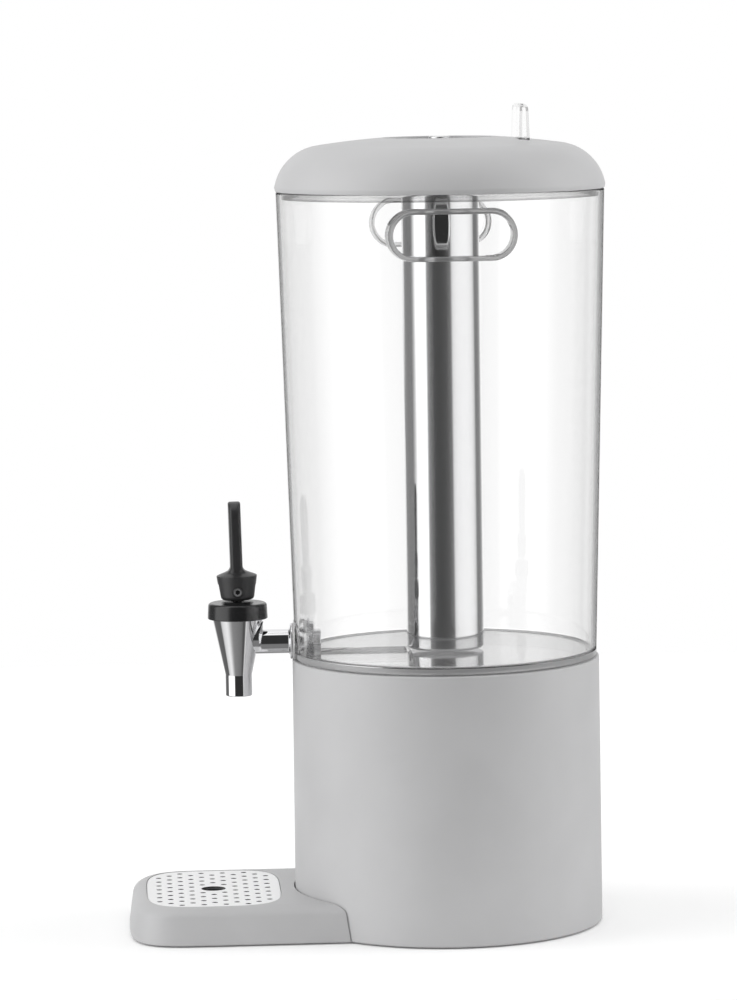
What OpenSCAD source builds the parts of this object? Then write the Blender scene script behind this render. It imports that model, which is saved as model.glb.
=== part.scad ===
// Juice dispenser: a clear tapered tank with a self-closing tap stands on a round stand.
// A domed lid carries a steel ice tube that hangs down the middle of the tank, and a clear
// holder for a label card. A drip tray with a perforated grid hugs the front of the stand.
// Millimetres. The origin is on the tank's axis at the table, +Z is up and the tap faces -Y.

/* [Stand] */
// Width of the stand at the table
stand_d = 210; // [200:1:230]
// How much narrower the stand is at its top edge
stand_taper = 1.2; // [0:0.2:4]
// Height of the stand's top edge above the table
stand_h = 182.1; // [150:1:230]
// Thickness of the stand's wall and of its deck
stand_wall = 3; // [2:0.5:4]
// Rounding of the stand's bottom edge
stand_round = 4; // [2:0.5:5]
// Gap under the stand's wall, which its rubber ring holds open
stand_lift = 1; // [0.5:0.25:2]
// Thickness of the cover that closes the stand from below
cover_t = 3.5; // [2.5:0.5:5]
// Number of screws that hold the cover
screw_count = 4; // [3:1:6]

/* [Tank] */
// How far the tank's foot is set in from the stand's width at the table
tank_inset = 2.4; // [2:0.2:5]
// How much wider the tank is at its rim
tank_flare = 16.6; // [8:1:24]
// Height of the tank's wall from its foot to its rim
tank_h = 316.9; // [260:1:360]
// Thickness of the tank's wall
tank_wall = 3.5; // [3:0.25:4]
// Thickness of the tank's floor
floor_t = 3; // [2.5:0.25:4]
// Height of the floor's top above the tank's foot
floor_rise = 4.6; // [4:0.2:6]
// Depth of the sump that drains the floor to the tap
sump_depth = 9; // [8.5:0.5:10]
// Width of the sump
sump_w = 34; // [33:1:44]

/* [Grips] */
// Length of a grip opening's collar at its face
grip_w = 82; // [70:1:90]
// Height of the collar at its face
grip_h = 35.8; // [32:1:40]
// Thickness of the collar's bar
grip_bar = 4.6; // [3.5:0.5:6]
// Distance of the collar's centre below the rim
grip_drop = 25.3; // [23:0.5:40]
// How far the collar's face stands out from the tank's rim
grip_reach = 7; // [5:0.5:12]

/* [Lid] */
// How far the lid overhangs the tank's rim
lid_overhang = 1.2; // [0.5:0.25:2.5]
// Height of the lid's crown above the rim
lid_h = 35.9; // [32:1:44]
// Radius of the lid's flat crown
crown_r = 700; // [500:10:1200]
// Radius of the lid's shoulder
shoulder_r = 33; // [28:1:34]
// Thickness of the lid's shell
lid_wall = 2.8; // [2:0.2:3.5]

/* [Ice tube] */
// Width of the ice tube
tube_d = 52.4; // [45:1:60]
// Thickness of the tube's steel
tube_wall = 1; // [0.8:0.1:1.5]
// Width of the flange that the tube hangs by
flange_d = 76.4; // [70:1:84]
// Thickness of the tube's flange
flange_t = 1.2; // [1:0.1:2]
// Thickness of the tube's cap
cap_t = 1.6; // [1.2:0.1:2.4]

/* [Label holder] */
// Length of the holder
holder_w = 60; // [50:1:64]
// Thickness of the holder at the lid
holder_t = 7.5; // [6.5:0.5:9]
// Thickness of the holder just below its rounded top
holder_top_t = 5.7; // [5:0.1:6.4]
// Height of the holder above the lid's crown
holder_h = 21; // [16:1:40]
// Distance of the holder behind the tank's axis
holder_back = 55; // [52:1:60]
// Width of the gap that the card slides in
card_gap = 2.4; // [1.5:0.1:2.6]

/* [Tap] */
// Gap between the tank's foot and the bonnet, seen from above
tap_gap = 18.2; // [14:0.2:28]
// Height of the tap's shank above the tank's floor
tap_rise = 7.5; // [7:0.25:8]
// Width of the shank that goes through the tank's wall
shank_d = 16.3; // [14:0.1:17]
// Width of the spout's nozzle
nozzle_d = 18.2; // [17:0.2:19]
// Width of the way out of the nozzle
outlet_d = 13; // [11:0.5:13.5]
// Length of the straight nozzle
nozzle_h = 14.4; // [12:0.2:18]
// Width of the tap's body below its bonnet
body_d = 34.6; // [33:0.2:36]
// Height of the tapered body
body_h = 38.4; // [36:0.2:40]
// Width of the black bonnet
bonnet_d = 40.8; // [39:0.2:44]
// Height of the bonnet
bonnet_h = 10.8; // [10:0.2:14]
// Width of the tap's stem
stem_d = 6; // [5:0.5:7]
// Width of the pin that the lever turns on
pin_d = 4; // [3:0.5:4.5]
// Height of the lever's tip above the pin
lever_h = 60.8; // [50:0.2:75]
// Width of the lever's hub across its shoulders
hub_d = 27.4; // [25:0.2:29]
// Thickness of the lever's paddle
paddle_t = 8.5; // [6:0.5:9]
// Width of the lever's paddle near its tip
paddle_w = 22; // [16:1:24]
// How far the lever leans out at rest, in degrees
lever_lean = 1.2; // [0:0.1:5]

/* [Drip tray] */
// Width of the tray
tray_w = 156; // [148:1:166]
// How far the tray reaches out in front of the stand
tray_reach = 113.5; // [108:0.5:125]
// Height of the tray's top above the table
tray_h = 25.8; // [23:0.5:32]
// Thickness of the tray's bottom
tray_floor_t = 3; // [2:0.5:4]
// Thickness of the tray's walls
tray_wall = 3; // [2.5:0.5:4]
// Power of the tray's corner curve, where a larger number is squarer
corner_power = 4; // [3:0.25:6]
// Width of the grid
grid_w = 131.6; // [124:1:134]
// Length of the grid from front to back
grid_l = 90.6; // [84:1:92]
// Thickness of the grid
grid_t = 1.5; // [1:0.1:2]
// Depth of the grid's top below the tray's rim
grid_sink = 0.5; // [0.2:0.1:1.5]
// Width of a grid hole
hole_d = 4; // [3:0.25:4.5]
// Distance from one row of holes to the next, from front to back
row_step = 7.4; // [6.5:0.1:9]
// Distance between the holes of a row
hole_step = 14.3; // [12:0.1:18]
// Width of the drain hole in the grid's middle
drain_d = 16.6; // [12:0.5:20]

/* [Fits] */
// Gap round a piece that lifts or slides out
slide_gap = 0.4; // [0.3:0.05:0.6]
// Gap round a turning pin or a guided stem
pin_gap = 0.05; // [0.03:0.01:0.09]
// Gap between soft seals and what they close
seal_gap = 0.3; // [0.3:0.05:0.5]

/* [Hidden] */
$fn = 96;
// Facets of a hull's own children
hull_fn = 32;
// Overrun of every cut past the face that it opens
cut = 1;
// Thickness of the thin plates that a hull is stretched over
plate = 0.02;

// Width of the tank at its foot
tank_d = stand_d - 2 * tank_inset;

// Where the pieces stand above the table
tank_z = stand_h + slide_gap;
floor_z = tank_z + floor_rise;
sump_z = floor_z - sump_depth;
skirt_gap = 0.6;
deck_z = sump_z - floor_t - skirt_gap;
rim_z = tank_z + tank_h;
crown_z = rim_z + lid_h;
tap_z = floor_z + tap_rise;
grip_z = rim_z - grip_drop;

// The stand's foot, cover and rubber ring
foot_w = 8;
foot_t = 3;
cover_z = stand_lift + stand_lift / 2;
cover_r = stand_d / 2 - stand_wall - slide_gap;
screw_d = 4;
screw_head_d = 7.6;
screw_head_h = 2;
screw_l = 14;
boss_d = 10;
boss_h = 20;
boss_r = cover_r - boss_d;
foot_r = boss_r - screw_head_d - foot_w / 2;

// The tank's rounded edges, its skirt and the tap's seat in its wall
tank_round = 3;
floor_round = 2;
skirt_t = 3;
skirt_r = tank_r(tank_z) - skirt_t;
pad_d = 30;
pad_proud = 0.5;
pad_out = tank_r(tap_z) + pad_proud;
pad_in = tank_r(floor_z) - tank_wall - skirt_t - pad_proud;
sump_tail = tube_d / 2 + slide_gap;
grip_draft = 3;
grip_root = tank_r(grip_z) - tank_wall * 3;
grip_face = tank_r(rim_z) + grip_reach;

// The lid's arcs, its seat on the rim, the seal under it, and the recess that the flange sits in
lid_r = tank_r(rim_z) + lid_overhang;
shoulder_x = lid_r - shoulder_r;
shoulder_z = crown_z - crown_r + sqrt(pow(crown_r - shoulder_r, 2) - pow(shoulder_x, 2));
lid_tuck = 1.2;
web_t = 2.8;
seal_w = 5;
seal_h = 4.8;
seal_lip_h = 2.4;
seal_waist = 1.2;
seal_r = tank_r(rim_z - seal_h) - tank_wall - seal_gap;
seal_in = seal_r - seal_w;
seal_tongue_t = 1.6;
seal_tongue_h = web_t / 2;
recess_depth = 6.8;
recess_z = crown_z - recess_depth;
recess_r = flange_d / 2 + slide_gap;
recess_floor_t = 2.8;
sleeve_t = 2.5;
sleeve_h = 23.4;
pocket_h = 4.5;
pocket_t = 2.4;
holder_z = crown_z - pow(holder_back, 2) / (2 * crown_r) - pocket_h;

// The tube's height, from the lid's recess down to just above the tank's floor
gasket_t = 0.8;
tube_top_z = recess_z + gasket_t;
tube_foot_gap = 1.5;
tube_z = floor_z + tube_foot_gap;
tube_round = 1.8;
cap_z = tube_top_z + flange_t;
cap_plug_t = 2;
cap_plug_h = 10.4;
cap_ring_d = 2.4;
knob_d = 14.5;
knob_h = 3.1;
knob_round = 0.95;
knob_neck_d = 9;

// The tap's axis, and its inside from the outlet upwards
tap_reach = tank_d / 2 + tap_gap + bonnet_d / 2;
body_z = tap_z + shank_d;
nozzle_z = body_z - body_h - nozzle_h;
neck_d = body_d - 1.4;
neck_h = bonnet_h / 2;
chamber_wall = 2.4;
neck_r = neck_d / 2 - chamber_wall;
seat_z = body_z - body_h + chamber_wall * 2;
cup_t = 1.4;
cup_flange_t = 1.5;
cup_top_z = body_z + neck_h;
ceiling_z = cup_top_z + cup_flange_t;
bonnet_z = body_z + bonnet_h;
bonnet_edge = 2.1;
collar_d = 17;
collar_h = 0.7;
shank_bore_d = shank_d - 5.3;
flange_r = shank_d / 2 + 4;
shank_flange_t = 1.6;
washer_t = 1;
inner_washer_t = 1.5;
nut_t = 4.5;
thread_end = 4.8;
nut_d = 31;
shank_end = pad_in - inner_washer_t - nut_t - thread_end;
hub_drop = 7.4;
hub_gap = 1.4;
hub_low_d = hub_d * 0.87;
hub_pin_l = hub_low_d * 0.94;
pin_z = bonnet_z + collar_h + hub_drop;
pin_head_d = 6.2;
pin_head_t = 1.4;
hub_round = 3;
hub_h = 9.8;
flare_rim = 0.8;
flare_slope = 21;
flare_round = 4.2;
flare_steps = 8;
tip_round = 1.6;
slot_w = stem_d + 2 * slide_gap;
eye_w = stem_d;
eye_r = pin_d / 2 + 2;
spring_d = stem_d + 4.4;
spring_wire = 1.2;
spring_turns = 6;
spring_steps = 14;
spring_sides = 6;
stem_collar_t = 2.4;
stem_collar_z = seat_z + cup_t + 5;
spring_z = stem_collar_z + stem_collar_t;
spring_top_z = ceiling_z + cup_flange_t;

// The tray's middle, its softened edge, the grid's ledge and the tongue that holds it
grid_back_gap = 10.7;
tray_back = grid_back_gap + stand_d / 2;
tray_mid = tray_back + grid_l / 2;
tray_front = tray_reach + stand_d / 2;
tray_depth = tray_front - tray_mid;
tray_lift = stand_lift;
tray_draft = 2.4;
tray_edge_w = 12;
tray_edge_h = 6.8;
tray_bottom_round = 1.2;
tray_edge_steps = 6;
corner_steps = 40;
tray_cut_r = stand_d / 2 + slide_gap;
ledge_w = 3.2;
ledge_z = tray_h - grid_sink - grid_t;
tongue_w = 60;
tongue_t = 3;
tongue_z = 7;
tongue_l = stand_wall * 2;
pad_foot_d = 12;
pad_foot_t = 2;
pad_sink = pad_foot_t - tray_lift;
// How much of the grid's own outline the outermost holes may reach
hole_reach_share = 0.8;

// Radius of the tank's outside at a height
function tank_r(z) = (tank_d + tank_flare * (z - tank_z) / tank_h) / 2;

// Radius of the stand's outside at a height
function stand_r(z) = (stand_d - stand_taper * z / stand_h) / 2;

// One coordinate of a squared ellipse, from the sine or cosine of its angle
function corner(c) = sign(c) * pow(abs(c), 2 / corner_power);

// Points of a squared ellipse with its centre at the tray's middle
function squircle(half_w, half_l, from, to) = [for (i = [0:corner_steps])
    let (a = from + (to - from) * i / corner_steps)
        [half_w * corner(cos(a)), half_l * corner(sin(a)) - tray_mid]];

// Points on a helix's tube: rings of spring_sides points, each round its own place on the coil
function spring_ring(i, low, high) = let (
    a = 360 * spring_turns * i / (spring_turns * spring_steps),
    run = min(1, max(0, i / (spring_turns * spring_steps))),
    z = low + (high - low) * run)
    [for (k = [0:spring_sides - 1]) let (b = 360 * k / spring_sides,
        r = spring_d / 2 + spring_wire / 2 * cos(b))
        [r * cos(a), r * sin(a), z + spring_wire / 2 * sin(b)]];

// A tube or ring about the Z axis
module ring(r_out, r_in, z, h) {
    translate([0, 0, z]) difference() {
        cylinder(r = r_out, h = h);
        translate([0, 0, -cut]) cylinder(r = r_in, h = h + 2 * cut);
    }
}

// A stadium: a rectangle with two half-round ends, flat on the XY plane
module stadium(w, h) {
    square([w - h, h], center = true);
    for (side = [-1, 1]) translate([side * (w - h) / 2, 0]) circle(d = h);
}

// The children laid along the X axis, with their own X along Y and their own Y up
module across() {
    rotate([90, 0, 90]) children();
}

// A cylinder about the tap's shank, from one distance in front of the axis to another
module along_shank(r, near, far) {
    translate([0, -near, tap_z]) rotate([90, 0, 0]) cylinder(r = r, h = far - near);
}

// The children moved to the tap's upright axis
module at_tap() {
    translate([0, -tap_reach, 0]) children();
}

// The children repeated at each cover screw
module at_screws() {
    for (i = [0:screw_count - 1]) rotate(45 + 360 / screw_count * i)
        translate([boss_r, 0, 0]) children();
}

// Outline of a cone's side with a rounded bottom edge, closed to the axis
module tapered_outline(r_low, r_high, z_low, z_high, round) {
    polygon([[0, z_low + round], [r_low, z_low + round], [r_high, z_high], [0, z_high]]);
    translate([0, z_low]) square([r_low - round, round]);
    translate([r_low - round, z_low + round]) circle(r = round);
}

module base_shell() color("silver") {
    seat_r = skirt_r + slide_gap;
    edge = stand_wall / 3;
    difference() {
        union() {
            difference() {
                rotate_extrude() {
                    tapered_outline(stand_r(0), stand_r(stand_h), stand_lift, stand_h - edge,
                        stand_round);
                    translate([0, stand_h - edge]) square([stand_r(stand_h) - edge, edge]);
                    translate([stand_r(stand_h) - edge, stand_h - edge]) circle(r = edge);
                }
                translate([0, 0, -cut]) cylinder(r1 = stand_r(0) - stand_wall,
                    r2 = stand_r(stand_h) - stand_wall, h = deck_z - stand_wall + cut);
                translate([0, 0, deck_z]) cylinder(r = seat_r, h = stand_h - deck_z + cut);
            }
            at_screws() {
                translate([0, 0, cover_z + cover_t]) cylinder(d = boss_d, h = boss_h);
                translate([0, -stand_wall / 2, cover_z + cover_t])
                    cube([stand_r(0) - stand_wall / 2 - boss_r, stand_wall, boss_h]);
            }
        }
        at_screws() cylinder(d = screw_d + 2 * pin_gap, h = screw_l + cover_z + cover_t);
        translate([-tongue_w / 2 - slide_gap, -stand_d / 2 - cut, tongue_z - slide_gap])
            cube([tongue_w + 2 * slide_gap, stand_wall * 3, tongue_t + 2 * slide_gap]);
    }
}

module base_cover() color("gray") {
    difference() {
        translate([0, 0, cover_z]) cylinder(r = cover_r, h = cover_t);
        ring(foot_r + foot_w / 2 + pin_gap, foot_r - foot_w / 2 - pin_gap, 0, foot_t);
        at_screws() {
            cylinder(d = screw_d + 2 * slide_gap, h = cover_z + cover_t + cut);
            cylinder(d = screw_head_d + slide_gap, h = cover_z + screw_head_h);
        }
    }
}

module base_screws() color("dimgray") {
    at_screws() translate([0, 0, cover_z]) difference() {
        union() {
            cylinder(d = screw_head_d, h = screw_head_h);
            cylinder(d = screw_d, h = screw_l);
        }
        for (turn = [0, 90]) rotate(turn) translate([-screw_d / 2, -screw_d / 8, -cut])
            cube([screw_d, screw_d / 4, cut + screw_head_h / 2]);
    }
}

module foot_ring() color("dimgray") {
    ring(foot_r + foot_w / 2, foot_r - foot_w / 2, 0, foot_t);
}

// The tank's cavity, wider by the wall's taper towards the rim
module tank_cavity() {
    rotate_extrude() {
        tapered_outline(tank_r(floor_z) - tank_wall, tank_r(rim_z) - tank_wall, floor_z,
            rim_z, floor_round);
        translate([0, rim_z]) square([tank_r(rim_z) - tank_wall, cut]);
    }
}

// A grip's collar, which narrows from its root on the wall to its flat face
module grip_collar() {
    hull() {
        translate([grip_root, 0, grip_z]) across() linear_extrude(plate)
            stadium(grip_w + 2 * grip_draft, grip_h + grip_draft, $fn = hull_fn);
        translate([grip_face - plate, 0, grip_z]) across() linear_extrude(plate)
            stadium(grip_w, grip_h, $fn = hull_fn);
    }
}

module tank() color("azure", 0.35) {
    under = sump_z - floor_t;
    difference() {
        union() {
            difference() {
                union() {
                    rotate_extrude() tapered_outline(tank_r(tank_z), tank_r(rim_z), tank_z,
                        rim_z, tank_round);
                    ring(skirt_r, skirt_r - skirt_t, deck_z, tank_round + tank_z - deck_z);
                    grip_collar();
                    mirror([1, 0, 0]) grip_collar();
                    intersection() {
                        along_shank(pad_d / 2, 0, pad_out);
                        translate([0, 0, tank_z]) cylinder(r = pad_out + cut, h = tank_h);
                    }
                }
                tank_cavity();
                translate([0, 0, deck_z - cut])
                    cylinder(r = skirt_r - skirt_t, h = floor_z - floor_t - deck_z + cut);
            }
            intersection() {
                translate([-sump_w / 2 - skirt_t, -skirt_r, under])
                    cube([sump_w + 2 * skirt_t, skirt_r - sump_tail + skirt_t, floor_z - under]);
                translate([0, 0, under]) cylinder(r = skirt_r - skirt_t / 2, h = floor_z - under);
            }
            along_shank(pad_d / 2, pad_in, skirt_r - skirt_t / 2);
            intersection() {
                along_shank(pad_d / 2, pad_in, pad_out);
                translate([0, 0, tank_z]) cylinder(r = pad_out + cut, h = tank_h);
            }
        }
        translate([-sump_w / 2, -pad_in, sump_z])
            cube([sump_w, pad_in - sump_tail, sump_depth + cut]);
        along_shank(shank_d / 2 + pin_gap, 0, pad_out + cut);
        for (side = [-1, 1]) translate([side * grip_root, 0, grip_z]) mirror([side < 0 ? 1 : 0, 0])
            translate([-tank_wall * 2, 0]) across() linear_extrude(grip_face)
                stadium(grip_w - 2 * grip_bar, grip_h - 2 * grip_bar);
    }
}

module tap_body() color("gainsboro") {
    boss_up = shank_d / 5;
    boss_r_out = shank_d * 0.65;
    difference() {
        union() {
            at_tap() rotate_extrude() polygon([[0, nozzle_z], [nozzle_d / 2, nozzle_z],
                [nozzle_d / 2, nozzle_z + nozzle_h], [body_d / 2, body_z], [neck_d / 2, body_z],
                [neck_d / 2, cup_top_z], [0, cup_top_z]]);
            intersection() {
                translate([0, -tap_reach, tap_z + boss_up]) rotate([-90, 0, 0])
                    cylinder(r = boss_r_out, h = body_d);
                at_tap() translate([0, 0, nozzle_z]) cylinder(d = body_d, h = body_z - nozzle_z);
            }
            along_shank(shank_d / 2, shank_end, tap_reach);
            along_shank(flange_r, pad_out + washer_t, pad_out + washer_t + shank_flange_t);
        }
        at_tap() rotate_extrude() polygon([[0, nozzle_z - cut], [outlet_d / 2, nozzle_z - cut],
            [outlet_d / 2, seat_z], [neck_r, body_z], [neck_r, cup_top_z + cut],
            [0, cup_top_z + cut]]);
        along_shank(shank_bore_d / 2, shank_end - cut, tap_reach);
    }
}

module tap_bonnet() color("#2b2b2d") {
    skirt_in = neck_d / 2 + pin_gap;
    hole_r = max(stem_d / 2, eye_r) + slide_gap;
    at_tap() difference() {
        rotate_extrude() {
            polygon([[0, body_z], [bonnet_d / 2, body_z], [bonnet_d / 2 - bonnet_edge / 4,
                bonnet_z - bonnet_edge], [0, bonnet_z - bonnet_edge]]);
            translate([bonnet_d / 2 - bonnet_edge * 1.25, bonnet_z - bonnet_edge])
                circle(r = bonnet_edge);
            translate([0, bonnet_z - bonnet_edge])
                square([bonnet_d / 2 - bonnet_edge * 1.25, bonnet_edge]);
            square([collar_d / 2, bonnet_z + collar_h]);
        }
        translate([0, 0, -cut]) cylinder(r = body_d, h = body_z + cut);
        translate([0, 0, body_z - cut]) cylinder(r = skirt_in, h = ceiling_z - body_z + cut);
        cylinder(d = spring_d + 3 * spring_wire, h = spring_top_z);
        cylinder(r = hole_r, h = bonnet_z + 2 * cut);
    }
}

module outer_washer() color("whitesmoke") {
    difference() {
        along_shank(flange_r + pin_gap, pad_out, pad_out + washer_t);
        along_shank(shank_d / 2 + pin_gap, pad_out - cut, pad_out + 2 * washer_t);
    }
}

module inner_washer() color("whitesmoke") {
    difference() {
        along_shank(nut_d / 2 - inner_washer_t, pad_in - inner_washer_t, pad_in);
        along_shank(shank_d / 2 + pin_gap, pad_in - 2 * inner_washer_t, pad_in + cut);
    }
}

module tap_nut() color("darkgray") {
    face = pad_in - inner_washer_t - nut_t;
    flange = nut_t / 3;
    difference() {
        union() {
            along_shank(nut_d / 2, face + nut_t - flange, face + nut_t);
            translate([0, -face, tap_z]) rotate([90, 0, 0]) cylinder(d = nut_d * 0.94,
                h = nut_t - flange / 2, $fn = 6);
        }
        along_shank(shank_d / 2 + pin_gap, face - cut, face + nut_t + cut);
    }
}

module tap_stem() color("silver") {
    at_tap() {
        difference() {
            union() {
                translate([0, 0, seat_z + 2 * cup_t])
                    cylinder(d = stem_d, h = pin_z - eye_r * 2 - seat_z - 2 * cup_t);
                translate([0, 0, stem_collar_z])
                    cylinder(d = spring_d + spring_wire, h = stem_collar_t);
                intersection() {
                    translate([-eye_w / 2, -eye_r, pin_z - eye_r * 2 - plate])
                        cube([eye_w, eye_r * 2, eye_r * 3 + plate]);
                    union() {
                        translate([0, 0, pin_z]) across() translate([0, 0, -eye_w])
                            cylinder(r = eye_r, h = 2 * eye_w);
                        translate([-eye_w / 2, -stem_d / 2, pin_z - eye_r * 2 - plate])
                            cube([eye_w, stem_d, eye_r * 2]);
                    }
                }
            }
            translate([-eye_w, 0, pin_z]) across()
                cylinder(r = pin_d / 2 + pin_gap / 2, h = 2 * eye_w);
        }
    }
}

// Radius of the tap's tapered bore at a height above its seat
function bore_r(z) = outlet_d / 2 + (neck_r - outlet_d / 2) * (z - seat_z) / (body_z - seat_z);

// The valve's soft cup: a flange that the bonnet clamps, and a bell that closes the outlet
module seat_cup() color("whitesmoke") {
    top_r = spring_d / 2 + spring_wire * 1.5;
    low_z = seat_z + 2 * cup_t;
    bell_z = stem_collar_z + 2 * stem_collar_t;
    at_tap() difference() {
        rotate_extrude() {
            translate([0, cup_top_z]) square([neck_d / 2 - seal_gap, cup_flange_t]);
            polygon([[0, seat_z + seal_gap], [outlet_d / 2 - seal_gap, seat_z + seal_gap],
                [bore_r(low_z) - seal_gap, low_z], [bore_r(stem_collar_z) - seal_gap, stem_collar_z],
                [top_r + cup_t, bell_z], [top_r + cup_t, cup_top_z + plate],
                [0, cup_top_z + plate]]);
        }
        translate([0, 0, low_z - pin_gap]) cylinder(r = stem_d / 2 + pin_gap, h = ceiling_z);
        translate([0, 0, stem_collar_z - pin_gap]) cylinder(r = top_r - pin_gap, h = ceiling_z);
    }
}

module tap_spring() color("lightgray") {
    last = spring_turns * spring_steps;
    low = spring_z + spring_wire / 2 + pin_gap;
    high = spring_top_z - spring_wire / 2 - pin_gap;
    points = [for (i = [0:last]) each spring_ring(i, low, high)];
    sides = [for (i = [0:last - 1], k = [0:spring_sides - 1])
        let (a = i * spring_sides, next = (k + 1) % spring_sides)
            each [[a + k, a + spring_sides + k, a + spring_sides + next],
                [a + k, a + spring_sides + next, a + next]]];
    start = [for (k = [0:spring_sides - 1]) k];
    end = [for (k = [spring_sides - 1:-1:0]) last * spring_sides + k];
    at_tap() polyhedron(points, concat(sides, [start, end]));
}

// The pin, with a slotted round head at both ends
module lever_pin() color("gray") {
    at_tap() translate([0, 0, pin_z]) across() difference() {
        union() {
            translate([0, 0, -hub_pin_l / 2]) cylinder(d = pin_d, h = hub_pin_l);
            for (side = [-1, 1]) translate([0, 0, side * (hub_pin_l - pin_head_t) / 2])
                cylinder(d = pin_head_d, h = pin_head_t, center = true);
        }
        for (side = [-1, 1]) translate([0, 0, side * hub_pin_l / 2])
            cube([2 * pin_head_d, pin_head_d / 7, pin_head_t], center = true);
    }
}

// The lever: a round hub whose sloping shoulders run up into a paddle, cut through for the
// stem's eye. All of it leans out about the pin.
module tap_lever() color("#2b2b2d") {
    hub_low = hub_gap - hub_drop;
    rim_r = hub_d / 2 - pin_gap;
    fillet_x = paddle_t / 2 + flare_round;
    foot_x = fillet_x - flare_round * sin(flare_slope);
    fillet_z = hub_h + flare_rim + (rim_r - foot_x) * tan(flare_slope)
        + flare_round * cos(flare_slope);
    tip_r = paddle_w / 2;
    root_share = 0.36;
    at_tap() translate([0, 0, pin_z]) difference() {
        rotate([lever_lean, 0, 0]) difference() {
            union() {
                rotate_extrude() {
                    tapered_outline(hub_low_d / 2, hub_d / 2, hub_low, hub_h, hub_round);
                    polygon(concat([[0, hub_h - pin_gap], [rim_r, hub_h - pin_gap],
                        [rim_r, hub_h + flare_rim]], [for (i = [0:flare_steps])
                        let (a = 270 - flare_slope - (90 - flare_slope) * i / flare_steps)
                            [fillet_x + flare_round * cos(a), fillet_z + flare_round * sin(a)]],
                        [[0, fillet_z]]));
                }
                intersection() {
                    translate([0, paddle_t / 2, 0]) rotate([90, 0, 0]) linear_extrude(paddle_t) {
                        polygon([[-paddle_w * root_share, 0], [paddle_w * root_share, 0],
                            [tip_r, lever_h - tip_r], [-tip_r, lever_h - tip_r]]);
                        translate([0, lever_h - tip_r]) circle(r = tip_r);
                    }
                    across() translate([0, 0, -paddle_w]) linear_extrude(2 * paddle_w) {
                        translate([-paddle_t / 2, 0]) square([paddle_t, lever_h - tip_round]);
                        translate([-paddle_t / 2 + tip_round, 0])
                            square([paddle_t - 2 * tip_round, lever_h]);
                        for (side = [-1, 1])
                            translate([side * (paddle_t / 2 - tip_round), lever_h - tip_round])
                                circle(r = tip_round);
                    }
                }
            }
            across() translate([0, 0, -hub_d]) cylinder(r = pin_d / 2 + pin_gap, h = 2 * hub_d);
            for (side = [-1, 1]) translate([side * (hub_pin_l / 2 - pin_head_t - seal_gap), 0, 0])
                mirror([side < 0 ? 1 : 0, 0]) across()
                    cylinder(r = pin_head_d / 2 + seal_gap, h = hub_d);
        }
        translate([-slot_w / 2, -hub_d, -hub_drop - hub_round])
            cube([slot_w, 2 * hub_d, hub_drop + hub_round + eye_r + slide_gap * 2]);
    }
}

// Outline of the lid's dome: a flat crown arc that runs into a round shoulder
module dome_outline(inset) {
    intersection() {
        translate([0, crown_z - crown_r]) circle(r = crown_r - inset, $fn = 6 * $fn);
        union() {
            translate([0, rim_z - cut]) square([shoulder_x, lid_h + 2 * cut]);
            translate([shoulder_x, shoulder_z]) circle(r = shoulder_r - inset);
        }
        polygon([[0, rim_z], [lid_r - lid_tuck, rim_z], [lid_r, rim_z + 2 * lid_tuck],
            [lid_r, crown_z + cut], [0, crown_z + cut]]);
    }
}

// A block that follows the holder's foot, wider by an amount all round
module holder_foot(grow, z, h) {
    translate([-holder_w / 2 - grow, holder_back - holder_t / 2 - grow, z])
        cube([holder_w + 2 * grow, holder_t + 2 * grow, h]);
}

module lid() color("silver") {
    sleeve_r = tube_d / 2 + slide_gap;
    sleeve_z = recess_z - sleeve_h;
    difference() {
        union() {
            rotate_extrude() difference() {
                union() {
                    difference() {
                        dome_outline(0);
                        dome_outline(lid_wall);
                    }
                    intersection() {
                        dome_outline(0);
                        translate([0, recess_z - recess_floor_t])
                            square([recess_r + sleeve_t, lid_h]);
                    }
                    intersection() {
                        dome_outline(0);
                        translate([seal_in, rim_z]) square([lid_r - seal_in, web_t]);
                    }
                    translate([sleeve_r, sleeve_z]) square([sleeve_t, sleeve_h]);
                }
                translate([0, recess_z]) square([recess_r, lid_h]);
                square([sleeve_r, crown_z + cut]);
                translate([seal_in + seal_tongue_t, rim_z - cut])
                    square([seal_tongue_t, seal_tongue_h + cut]);
            }
            intersection() {
                holder_foot(pocket_t + slide_gap, holder_z - pocket_t, pocket_h + pocket_t);
                rotate_extrude() dome_outline(0);
            }
        }
        holder_foot(slide_gap, holder_z, pocket_h * 2);
    }
}

// The clear seal under the lid's seat: a lip towards the tank's wall, a waist above it, and a
// tongue in the seat's groove
module lid_seal() color("azure", 0.5) {
    rotate_extrude() {
        translate([seal_in, rim_z - seal_h]) square([seal_w, seal_lip_h]);
        translate([seal_in, rim_z - seal_h])
            square([seal_w - seal_waist, seal_h - pin_gap]);
        translate([seal_in + seal_tongue_t + pin_gap, rim_z - seal_lip_h])
            square([seal_tongue_t - 2 * pin_gap, seal_lip_h + seal_tongue_h - pin_gap]);
    }
}

module ice_tube() color("lightgray") {
    r = tube_d / 2;
    difference() {
        union() {
            rotate_extrude() tapered_outline(r, r, tube_z, tube_top_z + flange_t, tube_round);
            translate([0, 0, tube_top_z]) cylinder(d = flange_d, h = flange_t);
        }
        rotate_extrude() tapered_outline(r - tube_wall, r - tube_wall, tube_z + tube_wall,
            tube_top_z + flange_t + cut, tube_round - tube_wall);
    }
}

module tube_gasket() color("whitesmoke") {
    ring(flange_d / 2, tube_d / 2 + slide_gap, recess_z, gasket_t);
}

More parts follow.
